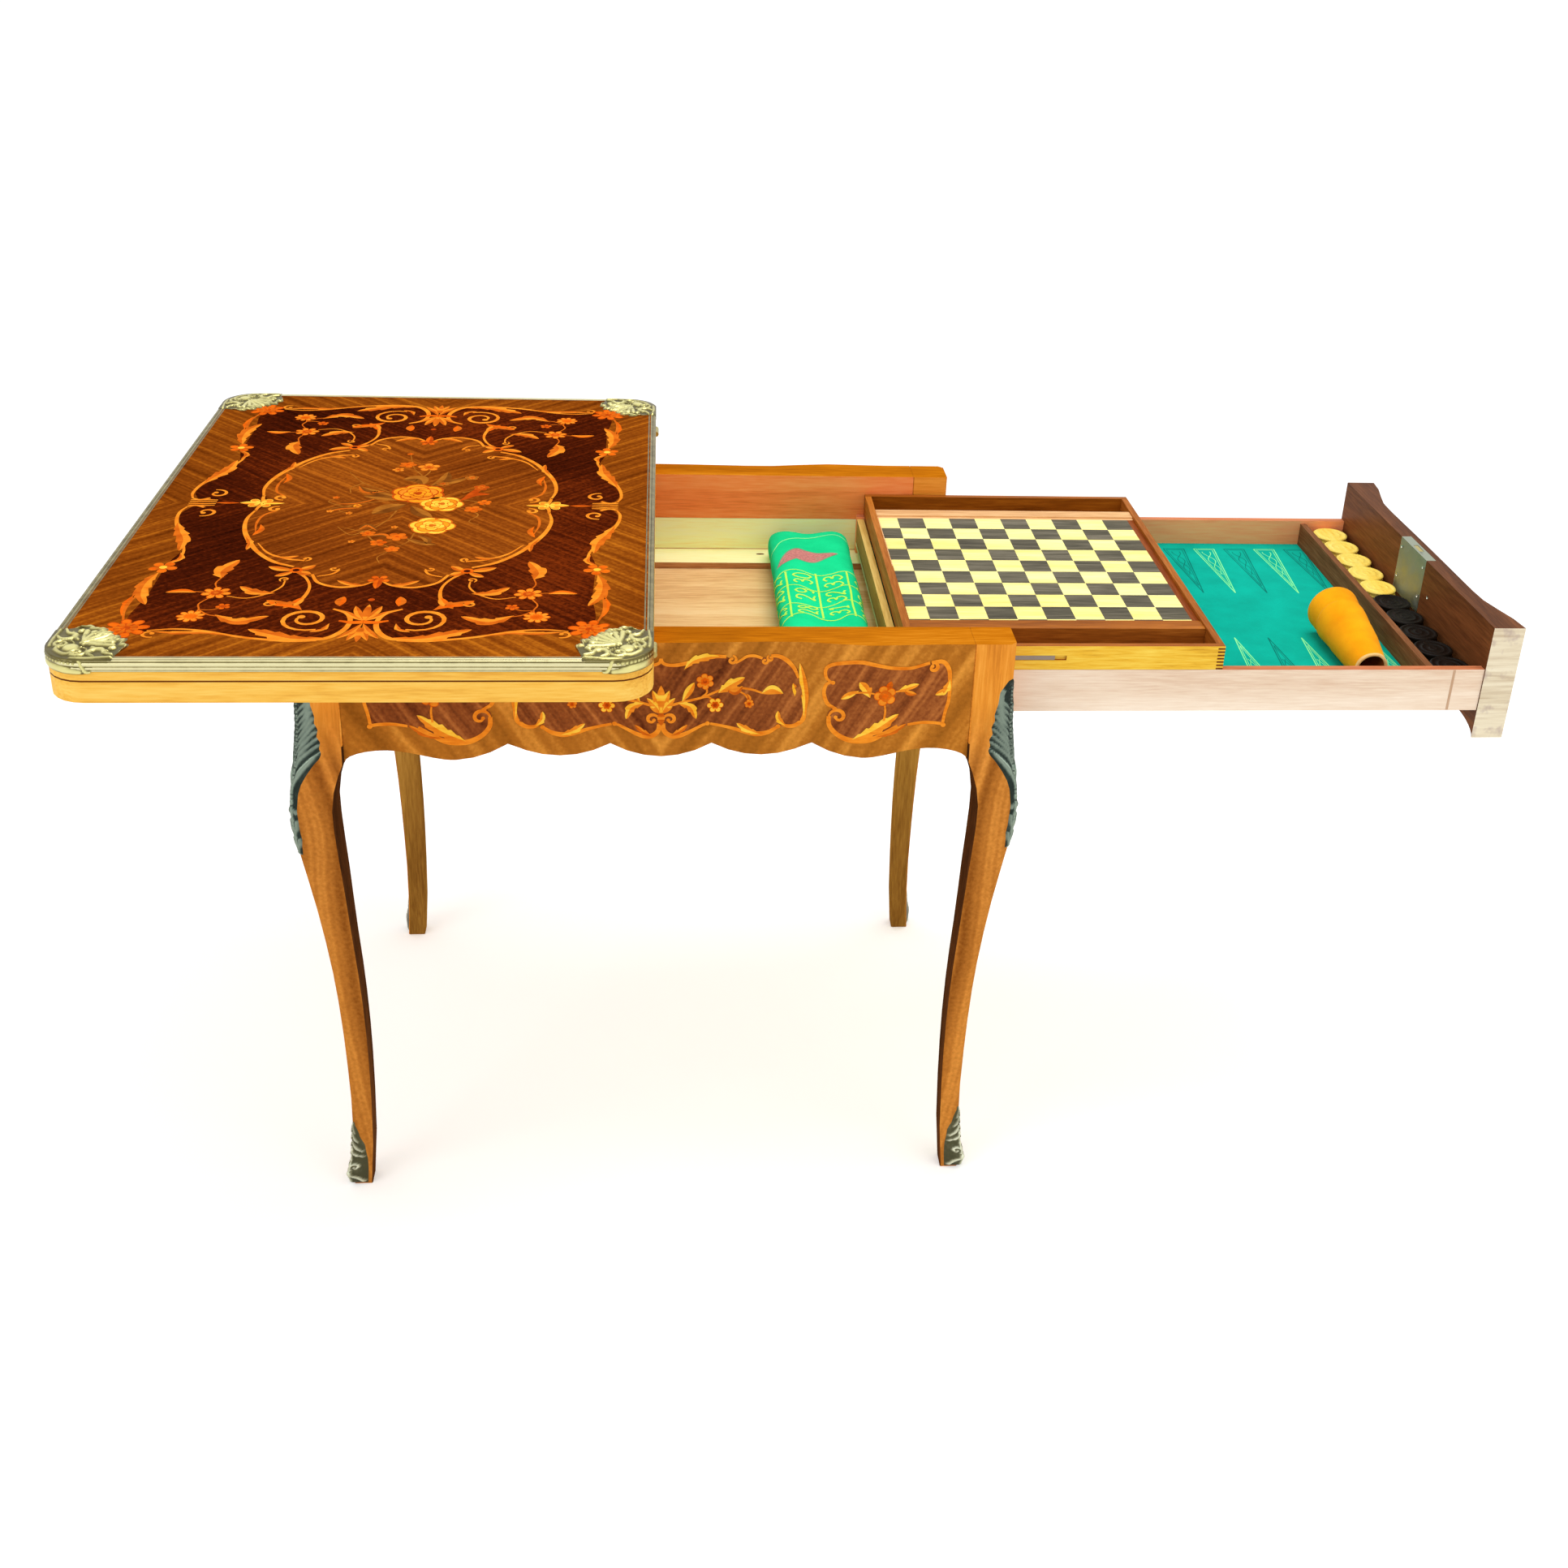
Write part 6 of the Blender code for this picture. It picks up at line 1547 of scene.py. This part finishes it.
def lathe(bm, rings, foot, way, sides=40):
    """A turned skin from rings of (along, radius), in millimetres from its foot."""
    foot, way = Vector(foot), Vector(way).normalized()
    across = way.cross(Vector((1, 0, 0)) if abs(way.z) > 0.5 else Vector((0, 0, 1))).normalized()
    other = way.cross(across)
    turns = [2 * pi * i / sides for i in range(sides)]
    rows = []
    for along, radius in rings:
        middle = foot + way * along * MM
        if radius == 0:
            rows.append([bm.verts.new(middle)])
            continue
        rows.append([bm.verts.new(middle + (across * cos(t) + other * sin(t)) * radius * MM) for t in turns])
    for lower, upper in zip(rows, rows[1:]):
        for i in range(sides):
            j = (i + 1) % sides
            corners = [lower[i % len(lower)], lower[j % len(lower)], upper[j % len(upper)],
                       upper[i % len(upper)]]
            bm.faces.new([v for k, v in enumerate(corners) if v not in corners[:k]])


def closed_mesh(bm, name, *looks, sharp=0.6):
    """A smooth mesh whose faces look outwards, with edges past an angle left sharp."""
    bmesh.ops.recalc_face_normals(bm, faces=bm.faces)
    mesh = mesh_of(bm, name, *looks)
    mesh.shade_smooth()
    mesh.set_sharp_from_angle(angle=sharp)
    return mesh


MAN_RADIUS = 22.6
MAN_THICK = 8.5
MAN_RINGS = (
    (0, 0), (0, 20.8), (0.5, 22.0), (1.2, 22.5), (2.6, 22.2), (3.4, 21.7), (4.6, 21.7), (5.4, 22.2),
    (6.9, 22.5), (7.8, 22.0), (8.4, 21.0), (8.45, 19.6), (7.9, 18.4), (7.5, 17.2), (7.5, 13.6), (7.9, 13.0),
    (7.9, 12.2), (7.5, 11.6), (7.5, 5.0), (7.9, 4.2), (7.6, 2.4), (7.6, 0),
)
MAN_SLIP = ((0.0, 0.0), (0.5, -0.3), (-0.6, 0.4), (0.7, 0.2), (-0.4, -0.4), (0.3, 0.5), (-0.7, 0.1))
MEN = (
    ("checkers_light", "boxwood", shades((255, 236, 128), (252, 216, 92), (236, 182, 62))),
    ("checkers_dark", "ebonised_wood", shades((32, 24, 18), (18, 13, 9), (9, 6, 4))),
)


def add_men():
    """Fifteen turned draughtsmen of each colour, in stacks of three."""
    for number, (node, slot, tones) in enumerate(MEN):
        low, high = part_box(node)
        x = (low[0] + high[0]) / 2
        pitch = (high[1] - low[1] - 2 * MAN_RADIUS * MM) / 4
        bm = bmesh.new()
        for stack in range(5):
            y = low[1] + MAN_RADIUS * MM + stack * pitch
            for level in range(3):
                slip_x, slip_y = MAN_SLIP[(stack * 3 + level + number) % len(MAN_SLIP)]
                foot = (x + slip_x * MM, y + slip_y * MM, low[2] + level * MAN_THICK * MM)
                lathe(bm, MAN_RINGS, foot, (0, 0, 1))
        look = wood(f"turned_{node}", tones, "Y", 0.34, 0.06, figure=1.6)
        name = f"draughtsmen_{node}"
        place_piece(name, closed_mesh(bm, name, look), "drawer", slot, node)


CUP_FOOT = (806.0, -62.0, 660.4)
CUP_WAY = (-0.0204, -0.9971, -0.0737)
CUP_RINGS = (
    (0, 0), (0.1, 20), (0, 28.4), (0.6, 29.8), (2.0, 30.6), (8, 30.4), (20, 29.5), (30, 28.8), (31.6, 28.3),
    (32.2, 30.1), (36.0, 30.3), (46, 29.4), (62, 27.9), (66, 27.3), (72, 27.4), (94, 25.6), (112, 23.7),
    (134, 20.9), (144.2, 19.8), (146.6, 19.6), (147.8, 18.9), (147.7, 16.8), (145.6, 16.2), (140, 17.0),
    (70, 24.0), (6, 27.6), (5.2, 26), (5, 0),
)
CUP_SIDES = 72
CUP_RIM_STRIPS = (18, 21)
CUP_SKEW = 0.10
CUP_DENT = 0.45


def add_cup():
    """The leather cup: a turned wall, dented and skewed at its mouth, with a ledged cap, a cut rim and an
    inside painted darker as painted shade.
    """
    foot = Vector((MIDDLE_X + CUP_FOOT[0] * MM, CUP_FOOT[1] * MM, CUP_FOOT[2] * MM))
    way = Vector(CUP_WAY).normalized()
    bm = bmesh.new()
    lathe(bm, CUP_RINGS, foot, CUP_WAY, CUP_SIDES)
    bm.faces.index_update()
    first, last = CUP_RIM_STRIPS
    for face in bm.faces:
        strip = face.index // CUP_SIDES
        face.material_index = 0 if strip < first else 1 if strip <= last else 2
    for vert in bm.verts:
        along = (vert.co - foot).dot(way)
        out = vert.co - foot - way * along
        if out.length > 0.001 and 0.003 < along < 0.146:
            turn = atan2(out.z, out.x)
            dent = 0.5 * (sin(5 * turn + along * 60) + sin(3 * turn - along * 130)) - 0.8
            vert.co += out.normalized() * dent * CUP_DENT * MM
        bend = max(0.0, along - 0.090) / 0.060
        vert.co -= way * bend * CUP_SKEW * (out.x + 0.020)
    rim = cloth_look("leather_cut_edge", srgb(250, 214, 150), srgb(228, 178, 100))
    # Painted shade: the inside of the cup is painted in darker tones than its outside.
    inner = cloth_look("leather_inside_shade", srgb(196, 116, 30), srgb(150, 84, 18))
    mesh = closed_mesh(bm, "leather_cup", LEATHER, rim, inner, sharp=1.2)
    place_piece("leather_cup", mesh, "drawer", "tan_leather", "dice_cup")


add_draughts_board()
add_backgammon_bed()
add_tray_joints()
add_men()
add_cup()

# Folded playing cloth

CLOTH_X = 191.0
CLOTH_HALF = 54.0
CLOTH_FOOT = 611.9
CLOTH_RISE = 40.6
CLOTH_REACH = 214.6
CLOTH_PITCH = 3.1
CLOTH_LAYERS = 11
CLOTH_SECTION = (
    (0.80, 0.01), (0.93, 0.08), (0.985, 0.30), (0.975, 0.60), (0.89, 0.84), (0.72, 0.955), (0.52, 0.975),
    (0.30, 0.93), (0.10, 0.885), (-0.12, 0.89), (-0.35, 0.945), (-0.58, 0.97), (-0.78, 0.92), (-0.93, 0.78),
    (-0.975, 0.55), (-0.96, 0.30), (-0.89, 0.08), (-0.76, 0.01),
)
SKIN = smooth_path(CLOTH_SECTION, 7) * (CLOTH_HALF, CLOTH_RISE)
SKIN_RUN = np.concatenate(([0.0], np.cumsum(np.linalg.norm(np.diff(SKIN, axis=0), axis=1))))
SKIN_TOP = float(np.interp(0.0, -SKIN[:, 0], SKIN_RUN))
SKIN_OUT = -normals_of(SKIN)
PRINT_LIFT = 3
FOLD_SHARES = (0, 0.1, 0.35, 0.7, 0.9, 1)
FOLD_BREADTHS = (0.80, 0.90, 0.94, 0.92, 0.82, 0.66)


def swell(v):
    """Breadth and height of the bundle along its length, as shares."""
    reach = abs(v) / CLOTH_REACH
    round_end = max(0.0, reach - 0.93) / 0.07
    ripple = 0.012 * sin(v / 23.0) + 0.010 * sin(v / 9.5 + 1.0)
    return 0.985 - 0.05 * round_end**2 + ripple * 0.6, 0.98 - 0.10 * round_end**2 + ripple


def on_cloth(u, v, lift):
    """Lay of shapes on the outer fold, measured round it from the middle of its top."""
    along = SKIN_TOP - (u / MM - CLOTH_X)
    x, z = (float(np.interp(along, SKIN_RUN, SKIN[:, i])) for i in (0, 1))
    out_x, out_z = (float(np.interp(along, SKIN_RUN, SKIN_OUT[:, i])) for i in (0, 1))
    broad, tall = swell(v / MM)
    x, z = x * broad + out_x * lift / MM * PRINT_LIFT, z * tall + out_z * lift / MM * PRINT_LIFT
    return (MIDDLE_X + (CLOTH_X + x) * MM, v, (CLOTH_FOOT + z) * MM)


def cloth_path():
    """The section of the sheet: inner folds from the top down, then the outer fold round them."""
    path = []
    for k in range(CLOTH_LAYERS - 1, -1, -1):
        share = k / (CLOTH_LAYERS - 1)
        half = CLOTH_HALF * float(np.interp(share, FOLD_SHARES,
                                            FOLD_BREADTHS)) - 1.4 * (sin(k * 2.3) + 1) * 0.5
        way = 1 if k % 2 == 0 else -1
        for t in np.linspace(-1, 1, 13):
            sag = 2.4 * share * (cos(t * pi * 1.1) + 0.3)
            path.append((way * t * half, 1.6 + k * CLOTH_PITCH - sag * 0.6))
        path.append((way * (half + 1.3), path[-1][1] - CLOTH_PITCH * 0.5))
    return smooth_path(path[:-1] + [tuple(point) for point in SKIN[2:]], 2)


DIGITS = {
    "0": (((3, 0), (0.6, 2.5), (0.6, 7.5), (3, 10), (5.4, 7.5), (5.4, 2.5), (3, 0)),),
    "1": (((1.4, 8), (3.2, 10), (3.2, 5), (3.2, 0)), ((1.4, 0), (5, 0))),
    "2": (((0.8, 7.6), (2, 10), (4.6, 9.6), (5, 7), (3, 3.5), (0.8, 0.4), (3, 0.9), (5.4, 0)),),
    "3": (((0.8, 8.4), (2.8, 10), (4.9, 8.6), (4.4, 6.2), (2.6, 5.4), (5.1, 4.4), (5.2, 1.6), (3, 0),
           (0.7, 1.6)),),
    "4": (((4, 0), (4, 5), (4, 10), (0.6, 3.2), (5.4, 3.2)),),
    "5": (((5, 10), (1.4, 9.8), (1, 5.6), (3.4, 6.4), (5.3, 4.2), (4.6, 1.2), (2.6, 0), (0.7, 1.4)),),
    "6": (((4.9, 9), (3, 10), (1.2, 7.4), (0.8, 3.2), (2.6, 0), (5, 1.6), (5, 4.4), (3, 5.8), (1, 4)),),
    "7": (((0.8, 9.6), (5.2, 9.8), (3.4, 5), (2.4, 0)),),
    "8": (((3, 5.4), (1.1, 7.4), (2.2, 9.8), (4.2, 9.6), (4.8, 7.4), (3, 5.4), (0.9, 3), (1.8, 0.3),
           (4.4, 0.3),
           (5.2, 2.8), (3, 5.4)),),
    "9": (((5, 6), (3, 4.4), (1, 5.8), (1, 8.4), (3, 10), (5, 8.2), (5, 4), (3.6, 0.6), (1.4, 0.8)),),
}
NUMBER_CELLS = (
    ("30", 184, 31, 17), ("29", 184, -18, 18), ("28", 184, -58, 13), ("33", 222, 20, 19),
    ("32", 222, -22, 16),
    ("31", 222, -62, 15), ("36", 262, 14, 19), ("35", 262, -26, 16), ("34", 262, -64, 15),
    ("27", 146, 31, 17),
    ("26", 146, -18, 18), ("25", 146, -58, 13),
)
CLOTH_LINES = (
    ((118, 138), (140, 150), (153, 168), (181, 184), (221, 190), (240, 180), (262, 150)),
    ((118, 40), (134, 52), (150, 70), (167, 75), (180, 69), (192, 62), (210, 62), (230, 69), (246, 62),
     (262, 46)),
    ((118, 6), (134, 14), (150, 25), (167, 25), (180, 16), (192, 12), (208, 16), (228, 26), (246, 18),
     (262, 4)),
    ((118, -46), (134, -36), (148, -26), (163, -28), (180, -33), (192, -33), (208, -27), (224, -18),
     (244, -24), (262, -40)),
    ((118, -86), (134, -76), (152, -62), (166, -57), (178, -61), (190, -70), (206, -73), (224, -62),
     (244, -70), (262, -92)),
)
LOZENGE = (
    (140, 88), (148, 112), (160, 137), (172, 149), (184, 145), (200, 136), (224, 127), (208, 115),
    (192, 106), (178, 108), (164, 114), (152, 106),
)


def add_cloth():
    """The folded cloth with its printed lines, lozenge and numbers."""
    section = cloth_path()
    rows = []
    for v in np.linspace(-CLOTH_REACH, CLOTH_REACH, 61):
        broad, tall = swell(v)
        rows.append([
            (MIDDLE_X + (CLOTH_X + x * broad) * MM, v * MM, (CLOTH_FOOT + z * tall) * MM) for x, z in section
        ])
    mesh = grid_mesh("folded_cloth", rows, CLOTH)
    cloth = place_piece("folded_cloth", mesh, "base", "green_cloth", "roulette_cloth")
    prints = {
        "lime": cloth_look("print_lime", srgb(206, 255, 96), srgb(176, 246, 84)),
        "pale": cloth_look("print_pale", srgb(170, 255, 170), srgb(130, 250, 150)),
        "rose": cloth_look("print_rose", srgb(216, 142, 134), srgb(172, 104, 98), 14.0),
        "edge": cloth_look("print_lozenge_edge", srgb(150, 176, 138), srgb(104, 136, 104)),
    }
    art = Inlay("cloth_print", on_cloth, "base", "green_cloth", prints)
    for k, line in enumerate(CLOTH_LINES):
        art.stroke(line, (1.8, 1.8), "pale" if k == 0 else "lime")
    for u in (152, 190, 229):
        art.stroke(((u, 68), (u, 20), (u - 0.5, -30), (u - 0.5, -66)), (2.4, 2.4), "lime")
    art.filled(LOZENGE, "edge", 1, 5)
    art.filled([(182 + (u - 182) * 0.93, 122 + (v - 122) * 0.88) for u, v in LOZENGE], "rose", 2, 5)
    for text, foot, start, wide in NUMBER_CELLS:
        for place, digit in enumerate(text):
            for line in DIGITS[digit]:
                points = [(foot - 2.3 * b, start + wide * (place + 0.08) + wide / 7 * a) for a, b in line]
                art.stroke(points, (2.5, 2.5), "lime", 2, 5)
    printed = art.finish()
    for piece in (cloth, printed):
        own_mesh(piece)


add_cloth()

# Screws, a knot and joint lines

SCREW_STAND = 0.8
SCREW_RINGS = ((0.8, 0.0), (0.7, 1.3), (0.35, 1.9), (0.0, 2.0))
SCREW_INSET = 0.006
SCREW_HEIGHTS = (0.020, 0.058)
LOOSE_SCREW = (-0.022, 0.030)
RUNNER_FACE_Z = 0.6114
LAP_LINE = (886.0, 889.0)


def add_fixings():
    """The lock's screws, a knot in the well's edge and the joint line near the drawer's front."""
    bright = metal("screw_heads", srgb(232, 232, 216), srgb(170, 168, 150), 0.25)
    low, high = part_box("lock_case")
    ends = (SCREW_INSET, high[1] - low[1] - SCREW_INSET)
    bm = bmesh.new()
    for y, z in [(a, b) for a in ends for b in SCREW_HEIGHTS] + [LOOSE_SCREW]:
        lathe(bm, SCREW_RINGS, (low[0] - SCREW_STAND * MM, low[1] + y, low[2] + z), (1, 0, 0), 12)
    place_piece("lock_screws", closed_mesh(bm, "lock_screws", bright), "drawer", "steel")
    knots = {"knot": wood("knot", DARK_TONES, "X", 0.6)}
    art = Inlay("beech_knot", on_level(RUNNER_FACE_Z), "base", "pale_beech", knots)
    art.disc((130, 221), 5.5, "knot", 1, sides=16, squash=0.42)
    art.finish()
    low, high = box_of("drawer_side_front")
    lines = {"lap": wood("lap_line", shades((214, 180, 150), (190, 152, 120), (150, 112, 82)), "Z", 0.6)}
    art = Inlay("drawer_lap_line", on_upright(low[1] * MM), "drawer", "drawer_wood", lines)
    square(art, (LAP_LINE[0], low[2] + 0.5), (LAP_LINE[1], high[2] - 0.5), "lap")
    art.finish()


add_fixings()
